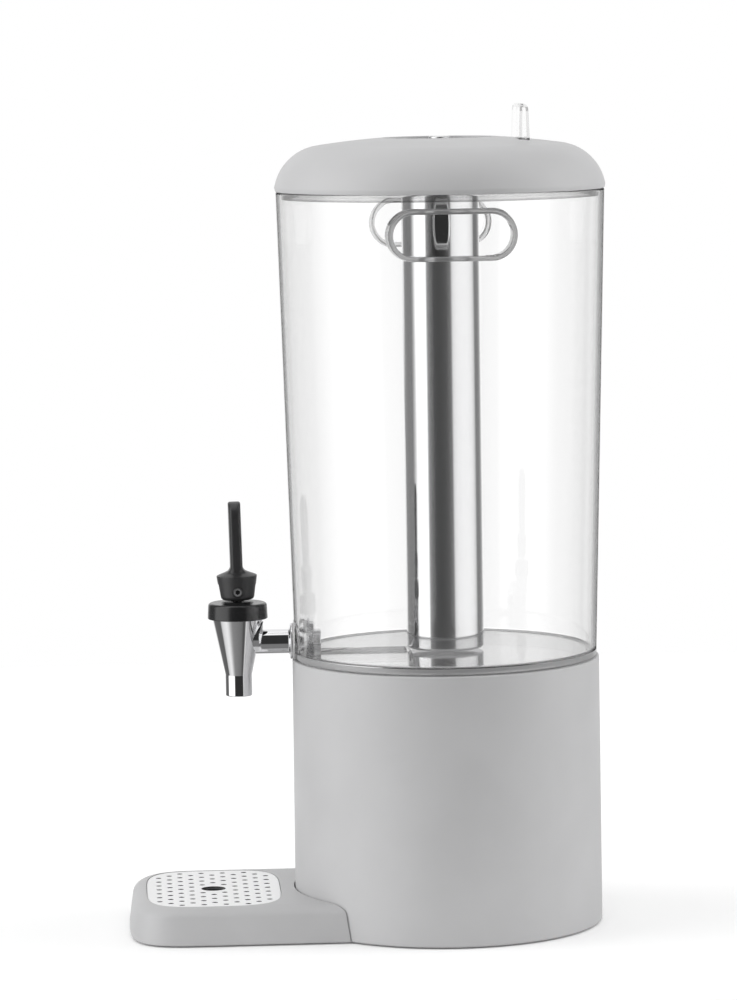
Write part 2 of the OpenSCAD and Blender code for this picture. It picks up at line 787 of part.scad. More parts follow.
module tube_cap() color("lightgray") {
    plug_out = tube_d / 2 - tube_wall - slide_gap;
    groove = cap_ring_d / 2;
    difference() {
        union() {
            translate([0, 0, cap_z]) cylinder(d = flange_d, h = cap_t);
            ring(plug_out, plug_out - cap_plug_t, cap_z - cap_plug_h, cap_plug_h);
            translate([0, 0, cap_z + cap_t]) rotate_extrude() {
                square([knob_neck_d / 2, knob_h - knob_round]);
                translate([0, knob_h - 2 * knob_round])
                    square([knob_d / 2 - knob_round, 2 * knob_round]);
                translate([knob_d / 2 - knob_round, knob_h - knob_round]) circle(r = knob_round);
            }
        }
        ring(plug_out + cut, plug_out - groove, cap_z - cap_plug_h / 2 - cap_ring_d / 2, cap_ring_d);
    }
}

module cap_ring() color("whitesmoke") {
    in_r = tube_d / 2 - tube_wall - slide_gap - cap_ring_d / 2 + pin_gap;
    ring(tube_d / 2 - tube_wall - seal_gap, in_r,
        cap_z - (cap_plug_h + cap_ring_d) / 2 + pin_gap, cap_ring_d - 2 * pin_gap);
}

// The label holder: two thin leaves joined by a rounded ridge, with a gap for the card
module label_holder() color("azure", 0.4) {
    top = crown_z + holder_h;
    ridge = holder_top_t / 2;
    leaf = (holder_t - card_gap) / 2;
    translate([-holder_w / 2, holder_back, 0]) across() linear_extrude(holder_w) difference() {
        union() {
            polygon([[-holder_t / 2, holder_z], [holder_t / 2, holder_z],
                [ridge, top - ridge], [-ridge, top - ridge]]);
            translate([0, top - ridge]) circle(r = ridge);
        }
        polygon([[-holder_t / 2 + leaf - slide_gap, holder_z - cut],
            [holder_t / 2 - leaf + slide_gap, holder_z - cut],
            [card_gap / 2, top - ridge], [-card_gap / 2, top - ridge]]);
        translate([0, top - ridge]) circle(d = card_gap);
    }
}

// The tray's plan: squared corners in front, straight sides that run back beside the stand
module tray_plan(inset) {
    half = tray_w / 2 - inset;
    polygon(concat(squircle(half, tray_depth - inset, 180, 360),
        [[half, -stand_d / 4], [-half, -stand_d / 4]]));
}

// A thin slice of the tray's body
module tray_slice(z, inset) {
    translate([0, 0, z]) linear_extrude(plate) tray_plan(inset);
}

module tray_body() {
    side_top = tray_h - tray_edge_h;
    hull() {
        tray_slice(tray_lift, tray_bottom_round);
        tray_slice(tray_lift + tray_bottom_round, 0);
        for (i = [0:tray_edge_steps]) let (a = 90 * i / tray_edge_steps)
            tray_slice(side_top + tray_edge_h * sin(a) - plate,
                tray_draft + tray_edge_w * (1 - cos(a)));
    }
}

// The moulded hollow under the tray's rim, all round the basin and the tongue's root
module tray_hollow() {
    side_top = tray_h - tray_edge_h;
    difference() {
        hull() {
            tray_slice(-cut, tray_wall);
            tray_slice(side_top, tray_draft + tray_wall);
            tray_slice(tray_h - tray_wall - plate, tray_draft + tray_edge_w + tray_wall);
        }
        translate([0, 0, -2 * cut]) cylinder(r = tray_cut_r + tray_wall, h = tray_h + 3 * cut);
        grid_prism(tray_wall - ledge_w, -2 * cut, tray_h + 3 * cut);
    }
}

// A prism with the grid's squared outline, wider by an amount all round
module grid_prism(grow, z, h) {
    translate([0, 0, z]) linear_extrude(h)
        polygon(squircle(grid_w / 2 + grow, grid_l / 2 + grow, 0, 360 - 360 / corner_steps));
}

// The children repeated at each of the tray's rubber feet
module at_tray_feet() {
    for (x = [-1, 1], y = [-1, 1])
        translate([x * (grid_w / 2 - pad_foot_d), y * (grid_l / 2 - pad_foot_d) - tray_mid, 0])
            children();
}

module drip_tray() color("silver") {
    difference() {
        union() {
            difference() {
                tray_body();
                translate([0, 0, -cut]) cylinder(r = tray_cut_r, h = tray_h + 2 * cut);
                tray_hollow();
            }
            translate([-tongue_w / 2, -tray_cut_r - tongue_l, tongue_z])
                cube([tongue_w, tongue_l * 2, tongue_t]);
        }
        grid_prism(slide_gap, ledge_z, tray_h);
        grid_prism(-ledge_w, tray_lift + tray_floor_t, tray_h);
        at_tray_feet() cylinder(d = pad_foot_d + 2 * pin_gap, h = tray_lift + pad_sink);
    }
}

module drip_grid() color("white") {
    rows = floor(grid_l / 2 / row_step);
    columns = floor(grid_w / 2 / hole_step) + 1;
    difference() {
        grid_prism(0, ledge_z, grid_t);
        translate([0, -tray_mid, 0]) cylinder(d = drain_d, h = tray_h);
        for (row = [-rows:rows], column = [-columns:columns]) {
            x = (column + (row % 2 == 0 ? 0.5 : 0)) * hole_step;
            y = row * row_step;
            reach = pow(abs(2 * x / grid_w), corner_power) + pow(abs(2 * y / grid_l), corner_power);
            if (reach < hole_reach_share && norm([x, y]) > (drain_d + hole_d) / 2 + hole_d / 2)
                translate([x, y - tray_mid, 0]) cylinder(d = hole_d, h = tray_h);
        }
    }
}

module tray_feet() color("dimgray") {
    at_tray_feet() cylinder(d = pad_foot_d, h = pad_foot_t);
}

base_shell();
base_cover();
base_screws();
foot_ring();
tank();
tap_body();
tap_bonnet();
outer_washer();
inner_washer();
tap_nut();
tap_stem();
seat_cup();
tap_spring();
lever_pin();
tap_lever();
lid();
lid_seal();
ice_tube();
tube_gasket();
tube_cap();
cap_ring();
label_holder();
drip_tray();
drip_grid();
tray_feet();
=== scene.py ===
import math

import bmesh
import bpy
from mathutils import Matrix, Vector


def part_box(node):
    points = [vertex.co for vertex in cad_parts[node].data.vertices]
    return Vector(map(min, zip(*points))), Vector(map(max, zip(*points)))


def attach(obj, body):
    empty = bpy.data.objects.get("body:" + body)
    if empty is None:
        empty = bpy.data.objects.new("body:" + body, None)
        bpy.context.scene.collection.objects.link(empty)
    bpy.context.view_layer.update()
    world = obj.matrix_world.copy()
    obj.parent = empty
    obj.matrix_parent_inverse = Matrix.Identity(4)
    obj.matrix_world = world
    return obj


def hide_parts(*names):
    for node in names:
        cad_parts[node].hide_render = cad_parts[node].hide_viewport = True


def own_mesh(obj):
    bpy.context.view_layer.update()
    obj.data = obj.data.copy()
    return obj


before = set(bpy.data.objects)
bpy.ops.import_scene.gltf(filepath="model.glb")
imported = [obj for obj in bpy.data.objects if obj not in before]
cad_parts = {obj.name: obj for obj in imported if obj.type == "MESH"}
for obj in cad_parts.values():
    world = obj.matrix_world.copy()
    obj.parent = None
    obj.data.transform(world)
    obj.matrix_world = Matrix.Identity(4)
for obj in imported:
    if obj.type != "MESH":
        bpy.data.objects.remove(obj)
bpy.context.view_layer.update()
mm = 0.001
sides = (-1, 1)
scene = bpy.context.scene
print("frame loaded")


def addObject(name, mesh):
    piece = bpy.data.objects.new(name, mesh)
    scene.collection.objects.link(piece)
    return piece


def tidyMesh(mesh, mergeBelow=2e-6):
    work = bmesh.new()
    work.from_mesh(mesh)
    bmesh.ops.remove_doubles(work, verts=work.verts, dist=mergeBelow)
    bmesh.ops.dissolve_degenerate(work, edges=work.edges, dist=1e-7)
    bmesh.ops.delete(work, geom=[e for e in work.edges if not e.link_faces], context="EDGES")
    bmesh.ops.delete(work, geom=[v for v in work.verts if not v.link_faces], context="VERTS")
    bmesh.ops.recalc_face_normals(work, faces=work.faces)
    work.to_mesh(mesh)
    work.free()


def applyModifiers(piece):
    depsgraph = bpy.context.evaluated_depsgraph_get()
    depsgraph.update()
    mesh = bpy.data.meshes.new_from_object(piece.evaluated_get(depsgraph))
    piece.modifiers.clear()
    old, piece.data = piece.data, mesh
    bpy.data.meshes.remove(old)
    return piece


def combine(piece, tool, operation):  # a Boolean with another closed piece, which is used up
    step = piece.modifiers.new("combine", "BOOLEAN")
    step.solver = "EXACT"
    step.operation = operation
    step.object = tool
    applyModifiers(piece)
    bpy.data.objects.remove(tool)
    return piece


def join(piece, tool):
    return combine(piece, tool, "UNION")


def cut(piece, tool):
    return combine(piece, tool, "DIFFERENCE")


def roundEdges(piece, width, segments=2, angle=35):
    step = piece.modifiers.new("rounded", "BEVEL")
    step.width = width * mm
    step.segments = segments
    step.limit_method = "ANGLE"
    step.angle_limit = math.radians(angle)
    step.harden_normals = False
    return applyModifiers(piece)


def dress(piece, body, material, node, sharpAngle=32):
    mesh = piece.data
    mesh.materials.clear()
    mesh.materials.append(material)
    for polygon in mesh.polygons:
        polygon.use_smooth = True
        polygon.material_index = 0
    mesh.set_sharp_from_angle(angle=math.radians(sharpAngle))
    step = piece.modifiers.new("flatFacesStayFlat", "WEIGHTED_NORMAL")
    step.keep_sharp = True
    applyModifiers(piece)
    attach(piece, body)
    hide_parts(node)


def finishFaces(piece, materials, choose):  # choose takes a face's centre in mm and the face
    for material in materials:
        piece.data.materials.append(material)
    for polygon in piece.data.polygons:
        polygon.material_index = choose(polygon.center / mm, polygon)


def quarterTurn(steps):  # angles from 0 to 90 degrees
    return [math.radians(90 * k / steps) for k in range(steps + 1)]


def arc(x, y, radius, degrees):
    return [(x + radius * math.cos(math.radians(a)), y + radius * math.sin(math.radians(a)))
            for a in degrees]


def ovalPoint(halfX, halfY, power, a):  # a point of a squared oval; power 2 gives an ellipse
    c, s = math.cos(a), math.sin(a)
    return (halfX * math.copysign(abs(c) ** (2 / power), c),
            halfY * math.copysign(abs(s) ** (2 / power), s))


def softened(corners, steps=5):  # corners are (radius, height) or (radius, height, rounding)
    points = []
    count = len(corners)
    for i, corner in enumerate(corners):
        here = Vector(corner[:2])
        if len(corner) == 2:
            points.append(here)
            continue
        before = Vector(corners[i - 1][:2]) - here
        after = Vector(corners[(i + 1) % count][:2]) - here
        a, b = before.normalized(), after.normalized()
        half = a.angle(b) / 2
        reach = min(corner[2] / math.tan(half), before.length * 0.49, after.length * 0.49)
        radius = reach * math.tan(half)
        centre = here + (a + b).normalized() * (radius / math.sin(half))
        first, last = here + a * reach - centre, here + b * reach - centre
        turn = first.angle(last)
        side = 1 if first.x * last.y - first.y * last.x > 0 else -1
        for k in range(steps + 1):
            t = side * turn * k / steps
            points.append(centre + Vector((first.x * math.cos(t) - first.y * math.sin(t),
                                           first.x * math.sin(t) + first.y * math.cos(t))))
    return points


def connect(tree, source, socket):  # a source is a node's first output, a named one or a plain value
    if isinstance(source, bpy.types.Node):
        source = source.outputs[0]
    if isinstance(source, bpy.types.NodeSocket):
        tree.links.new(source, socket)
    else:
        socket.default_value = source


def addNode(tree, kind, inputs=None, **settings):  # inputs go by their name or place
    node = tree.nodes.new(kind)
    for name, value in settings.items():
        setattr(node, name, value)
    for key, source in (inputs or {}).items():
        connect(tree, source, node.inputs[key])
    return node


def calc(tree, operation, *values):
    return addNode(tree, "ShaderNodeMath", dict(enumerate(values)), operation=operation)


def spread(tree, source, band, to=(0, 1), kind="LINEAR"):  # brings one band of values to another
    (low, high), (toLow, toHigh) = band, to
    return addNode(tree, "ShaderNodeMapRange", {
        "Value": source, "From Min": low, "From Max": high, "To Min": toLow, "To Max": toHigh,
    }, interpolation_type=kind)


def circle(tree, radius, steps):
    return addNode(tree, "GeometryNodeCurvePrimitiveCircle", {"Radius": radius, "Resolution": steps})


def swept(tree, path, profile, capped=False):
    return addNode(tree, "GeometryNodeCurveToMesh",
                   {"Curve": path, "Profile Curve": profile, "Fill Caps": capped})


def merged(tree, geometry, distance):
    return addNode(tree, "GeometryNodeMergeByDistance", {"Geometry": geometry, "Distance": distance})


def startTree(name, inputs, output):  # inputs are {name: kind}
    tree = bpy.data.node_groups.new(name, "GeometryNodeTree")
    for inputName, kind in inputs.items():
        tree.interface.new_socket(inputName, in_out="INPUT", socket_type="NodeSocket" + kind)
    tree.interface.new_socket(output, in_out="OUTPUT", socket_type="NodeSocketGeometry")
    return tree, tree.nodes.new("NodeGroupInput").outputs


def endTree(tree, geometry, material):
    whole = addNode(tree, "GeometryNodeRealizeInstances", {"Geometry": geometry})
    paint = addNode(tree, "GeometryNodeSetMaterial", {"Geometry": whole, "Material": material})
    addNode(tree, "NodeGroupOutput", {0: paint})
    return tree


def grow(piece, tree, values):  # runs a tree on a piece, with its inputs set by their identifiers
    step = piece.modifiers.new(tree.name, "NODES")
    step.node_group = tree
    for item in tree.interface.items_tree:
        if item.in_out == "INPUT" and item.name in values:
            step[item.identifier] = values[item.name]
    applyModifiers(piece)
    tidyMesh(piece.data)


def lathe():  # revolves the edges of a profile, drawn as X = radius and Y = minus height
    tree, entry = startTree("lathe", {
        "Profile": "Geometry", "Ring Radius": "Float", "Steps": "Int", "Material": "Material",
    }, "Turned")
    toCurve = addNode(tree, "GeometryNodeMeshToCurve", {"Mesh": entry["Profile"]})
    inward = addNode(tree, "ShaderNodeCombineXYZ",
                     {"X": calc(tree, "MULTIPLY", entry["Ring Radius"], -1)})
    shift = addNode(tree, "GeometryNodeSetPosition", {"Geometry": toCurve, "Offset": inward})
    sweep = swept(tree, circle(tree, entry["Ring Radius"], entry["Steps"]), shift)
    return endTree(tree, merged(tree, sweep, 1e-6), entry["Material"])


latheTree = lathe()
latheRing = 0.1  # any radius does, as the profile is moved inward by the same
layingDown = {"-Y": "X", "X": "Y"}  # the axis that turns a profile's height to another direction


def outlineMesh(name, points):  # a closed line through points (x, y) in mm
    mesh = bpy.data.meshes.new(name)
    count = len(points)
    mesh.from_pydata([(x * mm, y * mm, 0) for x, y in points],
                     [(i, (i + 1) % count) for i in range(count)], [])
    return mesh


def turned(name, corners, steps=128, roundSteps=5, along="Z", centre=(0, 0, 0)):
    profile = [(p.x, -p.y) for p in softened(corners, roundSteps)]
    piece = addObject(name, outlineMesh(name, profile))
    grow(piece, latheTree, {"Ring Radius": latheRing, "Steps": steps})
    if along in layingDown:
        piece.data.transform(Matrix.Rotation(math.radians(90), 4, layingDown[along]))
    piece.data.transform(Matrix.Translation(Vector(centre) * mm))
    return piece


def rod(name, radius, low, high, **place):
    return turned(name, [(0, low), (radius, low), (radius, high), (0, high)], **place)


def sinkEnds(piece, name, radius, low, high, steps):  # a hole at each end of a piece that lies along X
    for turn in (math.pi, 0):
        tool = rod(name, radius, low, high, steps=steps, along="X")
        tool.data.transform(Matrix.Rotation(turn, 4, "Z"))
        cut(piece, tool)


def loft(name, sections):  # joins rings of points (x, y, z) in mm and closes both ends
    mesh = bpy.data.meshes.new(name)
    count, rows = len(sections[0]), len(sections)
    faces = []
    for s in range(rows - 1):
        for i in range(count):
            j = (i + 1) % count
            faces.append((s * count + i, s * count + j, (s + 1) * count + j, (s + 1) * count + i))
    faces.append(tuple(range(count))[::-1])
    faces.append(tuple((rows - 1) * count + i for i in range(count)))
    mesh.from_pydata([(x * mm, y * mm, z * mm) for ring in sections for x, y, z in ring], [], faces)
    piece = addObject(name, mesh)
    tidyMesh(mesh)
    return piece


def prism(name, outline, low, high):
    return loft(name, [[(x, y, z) for x, y in outline] for z in (low, high)])


def block(name, low, high):
    (x0, y0, z0), (x1, y1, z1) = low, high
    return prism(name, [(x0, y0), (x1, y0), (x1, y1), (x0, y1)], z0, z1)


studio = {
    "cameraPlace": (3.0640, -0.2192, 0.6047), "forward": (-0.99328, 0.05449, -0.10210), "roll": -0.84,
    "sensor": 36.0, "lens": 222.13, "farthest": 50.0,
    "floorTone": 0.96, "floorGlow": 0.08, "table": (-1.3, 0.28, 1.3),
}


def makeCamera():
    forward = Vector(studio["forward"]).normalized()
    level = forward.cross(Vector((0, 0, 1))).normalized()
    upright = level.cross(forward)
    roll = math.radians(studio["roll"])
    right = level * math.cos(roll) + upright * math.sin(roll)
    up = upright * math.cos(roll) - level * math.sin(roll)
    lens = bpy.data.cameras.new("studioCamera")
    lens.sensor_fit = "HORIZONTAL"
    lens.sensor_width = studio["sensor"]
    lens.lens = studio["lens"]
    lens.clip_end = studio["farthest"]
    camera = addObject("studioCamera", lens)
    turn = Matrix((right, up, -forward)).transposed().to_4x4()
    camera.matrix_world = Matrix.Translation(studio["cameraPlace"]) @ turn
    scene.camera = camera


def rgba(colour):  # from a grey tone or from three numbers
    return (colour,) * 3 + (1,) if isinstance(colour, (int, float)) else (*colour, 1)


def blended(tree, factor, first, second):
    return addNode(tree, "ShaderNodeMixShader", {"Fac": factor, 1: first, 2: second})


def mixColours(tree, factor, first, second, blend="MIX"):
    mix = addNode(tree, "ShaderNodeMix", {"Factor": factor}, data_type="RGBA", blend_type=blend)
    colours = [socket for socket in mix.inputs if socket.type == "RGBA"]
    connect(tree, first, colours[0])
    connect(tree, second, colours[1])
    return next(socket for socket in mix.outputs if socket.type == "RGBA")


def ramped(tree, source, stops):  # stops are (place, tone or colour), from left to right
    ramp = addNode(tree, "ShaderNodeValToRGB", {"Fac": source})
    elements = ramp.color_ramp.elements
    for element, (place, colour) in zip(elements, (stops[0], stops[-1])):
        element.position, element.color = place, rgba(colour)
    for place, colour in stops[1:-1]:
        elements.new(place).color = rgba(colour)
    return ramp


def makeFloor():  # a table that ends a little in front of the object, as the tap's mirroring shows
    mesh = bpy.data.meshes.new("studioFloor")
    back, front, side = studio["table"]
    mesh.from_pydata([(back, -side, 0), (front, -side, 0), (front, side, 0), (back, side, 0)], [],
                     [(0, 1, 2, 3)])
    floor = addObject("studioFloor", mesh)
    material = bpy.data.materials.new("paleFloor")
    material.use_nodes = True
    tree = material.node_tree
    tree.nodes.clear()
    rays = addNode(tree, "ShaderNodeLightPath").outputs
    matt = addNode(tree, "ShaderNodeBsdfDiffuse", {"Color": rgba(studio["floorTone"])})
    seen = calc(tree, "MAXIMUM", rays["Is Camera Ray"], rays["Is Transmission Ray"])
    glow = addNode(tree, "ShaderNodeEmission",
                   {"Strength": calc(tree, "MULTIPLY", seen, studio["floorGlow"])})
    both = addNode(tree, "ShaderNodeAddShader", {0: matt, 1: glow})
    # a mirrored ray goes on to the studio's own tones for what lies below
    sentOn = calc(tree, "GREATER_THAN", rays["Glossy Depth"], 0.5)
    flying = calc(tree, "MAXIMUM", rays["Is Glossy Ray"], rays["Is Transmission Ray"])
    clear = addNode(tree, "ShaderNodeBsdfTransparent")
    look = blended(tree, calc(tree, "MULTIPLY", sentOn, flying), both, clear)
    addNode(tree, "ShaderNodeOutputMaterial", {"Surface": look})
    mesh.materials.append(material)


# Brightness of the studio round the object, as (azimuth, tone) of where a ray goes: 0 is the camera's
# side, -90 the tray's side and 180 the far side
mirrorRing = [  # what the tap's chrome mirrors
    (-180, 1.0), (-158, 1.0), (-148, 0.34), (-138, 0.16), (-100, 0.14), (-96, 1.6), (-39, 1.5),
    (-34, 0.10), (-28, 0.035), (33, 0.035), (41, 0.95), (46, 0.62), (100, 0.58), (115, 0.42),
    (145, 0.40), (158, 1.0), (180, 1.0),
]
floorRing = [  # what lies below, as the tap's cone mirrors it
    (-180, 0.3), (-148, 0.3), (-138, 0.16), (-94, 0.13), (-90, 0.62), (-82, 0.85), (-60, 1.05),
    (-50, 0.86), (-40, 0.5), (-30, 0.3), (-22, 0.27), (10, 0.21), (22, 0.17), (25, 0.10), (36, 0.11),
    (40, 0.75), (106, 0.8), (115, 0.25), (180, 0.3),
]
tubeRing = [  # what the ice tube mirrors, seen through the tank
    (-180, 1.0), (-158, 1.0), (-148, 0.32), (-124, 0.24), (-104, 0.20), (-97, 0.6), (-90, 1.2),
    (-84, 1.7), (-52, 1.7), (-47, 0.35), (-39, 0.13), (-32, 0.06), (-16, 0.035), (0, 0.05),
    (10, 0.075), (17, 0.10), (24, 0.2), (29, 0.95), (35, 1.1), (42, 1.2), (62, 1.32), (77, 1.32),
    (94, 1.15), (104, 0.85), (112, 0.24), (128, 0.24), (146, 0.5), (158, 1.0), (180, 1.0),
]
glassRing = [  # what the clear plastic mirrors
    (-180, 1.0), (-174, 1.0), (-171, 0.08), (-156, 0.08), (-148, 0.55), (-138, 0.9), (-120, 1.0),
    (112, 1.0), (130, 0.9), (142, 0.55), (149, 0.08), (165, 0.08), (172, 1.0), (180, 1.0),
]
mattRing = [  # what lights the matt surfaces
    (-180, 0.4), (-120, 0.3), (-106, 2.4), (-92, 4.0), (-72, 3.2), (-58, 0.7), (-42, 0.2), (-20, 0.8),
    (0, 1.0), (18, 0.7), (32, 0.2), (60, 0.3), (72, 1.9), (88, 4.2), (104, 3.0), (118, 0.7),
    (130, 0.3), (180, 0.4),
]
mattBelow = [(-180, 0.5), (180, 0.5)]
sky = {
    "full": 5.0, "mirrorTop": 1.2, "mattTop": 1.05,
    "belowBand": (-0.42, -0.25), "mirrorTopBand": (0.90, 0.95), "mattTopBand": (0.4, 0.8),
}


def makeWorld():
    world = bpy.data.worlds.new("studioLight")
    world.use_nodes = True
    tree = world.node_tree
    tree.nodes.clear()
    where = addNode(tree, "ShaderNodeTexCoord")
    split = addNode(tree, "ShaderNodeSeparateXYZ", {0: where.outputs["Generated"]})
    azimuth = calc(tree, "ARCTAN2", split.outputs["Y"], split.outputs["X"])
    share = spread(tree, azimuth, (-math.pi, math.pi))

    def within(band):
        return spread(tree, split.outputs["Z"], band, kind="SMOOTHSTEP")

    def toneRing(ring):
        stops = [((degrees + 180) / 360, tone / sky["full"]) for degrees, tone in ring]
        return ramped(tree, share, stops)

    def surroundings(ring, below, top=sky["mirrorTop"], topBand=sky["mirrorTopBand"]):
        low = mixColours(tree, within(sky["belowBand"]), toneRing(below), toneRing(ring))
        high = mixColours(tree, within(topBand), low, rgba(top / sky["full"]))
        return addNode(tree, "ShaderNodeBackground", {"Color": high, "Strength": sky["full"]})

    rays = addNode(tree, "ShaderNodeLightPath").outputs
    fromMirror = calc(tree, "GREATER_THAN", rays["Glossy Depth"], 0.5)
    seen = calc(tree, "MAXIMUM", rays["Is Camera Ray"], rays["Is Transmission Ray"])
    straight = calc(tree, "MULTIPLY", seen, calc(tree, "LESS_THAN", rays["Glossy Depth"], 0.5))
    throughGlass = calc(tree, "MULTIPLY", fromMirror, rays["Is Transmission Ray"])
    # a perfectly smooth surface, which only the clear plastic has, mirrors without any spread
    offGlass = calc(tree, "MULTIPLY", rays["Is Glossy Ray"], rays["Is Singular Ray"])
    white = addNode(tree, "ShaderNodeBackground", {"Color": rgba(1)})
    light = surroundings(mattRing, mattBelow, sky["mattTop"], sky["mattTopBand"])
    for factor, mirrored in (
            (rays["Is Glossy Ray"], surroundings(mirrorRing, floorRing)),
            (offGlass, surroundings(glassRing, glassRing)),
            (throughGlass, surroundings(tubeRing, tubeRing)), (straight, white)):
        light = blended(tree, factor, light, mirrored)
    addNode(tree, "ShaderNodeOutputWorld", {"Surface": light})
    scene.world = world


scene.view_settings.view_transform = "Standard"
makeCamera()
makeWorld()
makeFloor()
print("studio ready")

grain = {
    "middle": (0.3, 0.7), "blotches": 18, "specks": 900, "speckMiddle": (0.35, 0.65),
    "speckHeight": 0.00004, "waves": 22, "waveHeight": 0.000003,
}
# turning and edgeStart shape the painted edge shade of clear plastic; shadow is what lamp light keeps
# through it
clearTones = {"turning": 0.985, "edgeStart": 1.6, "shadow": 0.93}


def plainMaterial(name, colour, roughness, metallic=0.0):
    material = bpy.data.materials.new(name)
    material.use_nodes = True
    setShader(material, "Base Color", rgba(colour))
    setShader(material, "Roughness", roughness)
    setShader(material, "Metallic", metallic)
    return material, material.node_tree


def setShader(material, name, source):
    tree = material.node_tree
    connect(tree, source, tree.nodes["Principled BSDF"].inputs[name])


def noiseOn(tree, scale, detail=3, stretch=(1, 1, 1)):
    where = addNode(tree, "ShaderNodeTexCoord")
    mapping = addNode(tree, "ShaderNodeMapping", {"Vector": where.outputs["Object"], "Scale": stretch})
    return addNode(tree, "ShaderNodeTexNoise", {"Vector": mapping, "Scale": scale, "Detail": detail})


def vary(material, noise, colours, roughness, middle=grain["middle"]):
    tree = material.node_tree
    setShader(material, "Base Color", ramped(tree, noise, list(zip(middle, colours))))
    setShader(material, "Roughness", spread(tree, noise, grain["middle"], roughness))


def bumpOf(material, noise, height, strength):
    bump = addNode(material.node_tree, "ShaderNodeBump",
                   {"Distance": height, "Strength": strength, "Height": noise})
    setShader(material, "Normal", bump)


def scaled(colour, share):
    return tuple(min(1, c * share) for c in colour)


def mouldedPlastic(name, colour, roughness, fine=2600, height=0.00003, mottle=0.03):
    material, tree = plainMaterial(name, colour, roughness)
    colours = scaled(colour, 1 - mottle), scaled(colour, 1 + mottle)
    vary(material, noiseOn(tree, grain["blotches"]), colours, (roughness - 0.03, roughness + 0.04))
    bumpOf(material, noiseOn(tree, fine, 2), height, 0.6)
    return material


def clearPlastic(name, edgeTone, faceTone=1.0, ior=1.49, edgeFrom=0.72, edgeTo=0.93):
    material, tree = plainMaterial(name, 1, 0.0)
    setShader(material, "Transmission Weight", 1)
    setShader(material, "IOR", ior)
    # Base colour darkens towards grazing angles: painted shade for the dark outlines that clear plastic
    # shows
    facing = addNode(tree, "ShaderNodeLayerWeight", {"Blend": 0.5})
    setShader(material, "Base Color", ramped(tree, facing.outputs["Facing"], [
        (0.0, faceTone), (edgeFrom, faceTone * clearTones["turning"]),
        (edgeTo, min(faceTone, edgeTone * clearTones["edgeStart"])), (1.0, edgeTone),
    ]))
    bumpOf(material, noiseOn(tree, grain["waves"], 1), grain["waveHeight"], 0.5)
    # lamp light passes straight through
    through = addNode(tree, "ShaderNodeBsdfTransparent", {"Color": rgba(clearTones["shadow"])})
    rays = addNode(tree, "ShaderNodeLightPath").outputs
    lampRays = calc(tree, "MAXIMUM", rays["Is Shadow Ray"], rays["Is Diffuse Ray"])
    look = blended(tree, lampRays, tree.nodes["Principled BSDF"], through)
    connect(tree, look, tree.nodes["Material Output"].inputs["Surface"])
    return material


def shadeByHeight(material, stops):  # painted shade on a clear piece, darker along its beads and lips by height
    tree = material.node_tree
    tone = tree.nodes["Principled BSDF"].inputs["Base Color"].links[0].from_socket
    where = addNode(tree, "ShaderNodeTexCoord")
    split = addNode(tree, "ShaderNodeSeparateXYZ", {0: where.outputs["Object"]})
    low, high = stops[0][0], stops[-1][0]
    share = spread(tree, split.outputs["Z"], (low, high))
    shade = ramped(tree, share, [((z - low) / (high - low), k) for z, k in stops])
    setShader(material, "Base Color", mixColours(tree, 1, tone, shade, "MULTIPLY"))


def twoSidedShadePlastic(name, outerTone, innerTone):  # a satin face with painted shade: grey where its front is seen, paler where it is seen from inside the plastic
    material, tree = plainMaterial(name, outerTone, 0.15)
    setShader(material, "Transmission Weight", 0.5)
    setShader(material, "IOR", 1.49)
    place = addNode(tree, "ShaderNodeNewGeometry")
    stops = [(0.0, outerTone), (1.0, innerTone)]
    setShader(material, "Base Color", ramped(tree, place.outputs["Backfacing"], stops))
    return material


def metal(name, colour, roughness, stretch=(1, 1, 1), scale=400, streak=0.0, height=0.0):
    material, tree = plainMaterial(name, colour, roughness, 1.0)
    lines = noiseOn(tree, scale, 3, stretch)
    vary(material, lines, (scaled(colour, 0.97), colour),
         (max(0.02, roughness - streak), roughness + streak))
    if height:
        bumpOf(material, lines, height, 0.4)
    return material


def softRubber(name, colour, roughness):
    material, tree = plainMaterial(name, colour, roughness)
    specks = noiseOn(tree, grain["specks"], 4)
    vary(material, specks, (scaled(colour, 0.93), colour), (roughness - 0.05, roughness + 0.08),
         grain["speckMiddle"])
    bumpOf(material, specks, grain["speckHeight"], 0.5)
    return material


greyPlastic = mouldedPlastic("greySatinPlastic", (0.50, 0.50, 0.505), 0.52)
darkPlastic = mouldedPlastic("darkCoverPlastic", (0.10, 0.10, 0.105), 0.5)
blackPlastic = mouldedPlastic("blackBonnetPlastic", (0.014, 0.014, 0.015), 0.24, 1800, 0.000012)
setShader(blackPlastic, "IOR", 1.6)
leverPlastic = mouldedPlastic("blackLeverPlastic", (0.030, 0.030, 0.031), 0.34, 1800, 0.00002)
whitePlastic = mouldedPlastic("whiteGridPlastic", (0.90, 0.90, 0.905), 0.42, mottle=0.015)
# near-black hole walls of the white grid: painted shade
holeShadePaint = mouldedPlastic("paintedHoleShadePlastic", (0.045, 0.045, 0.046), 0.5, mottle=0.015)
tankPlastic = clearPlastic("clearTankPlastic", 0.3, edgeFrom=0.755, edgeTo=0.80)
footPlastic = clearPlastic("clearFootPlastic", 0.95)
# grey translucent foot edge: painted light for what the clear foot refracts there
footEdgeLightPlastic = mouldedPlastic("footEdgePaintedLight", (0.40, 0.40, 0.404), 0.3, height=0.00001)
setShader(footEdgeLightPlastic, "Transmission Weight", 0.4)
# the grip collars' darker clear finish is painted shade
gripShadePlastic = clearPlastic("clearGripPaintedShade", 0.5, faceTone=0.9)
ringShadePlastic = twoSidedShadePlastic("ringPaintedShadePlastic", 0.30, 0.92)
holderPlastic = clearPlastic("clearHolderPlastic", 0.95, ior=1.06)
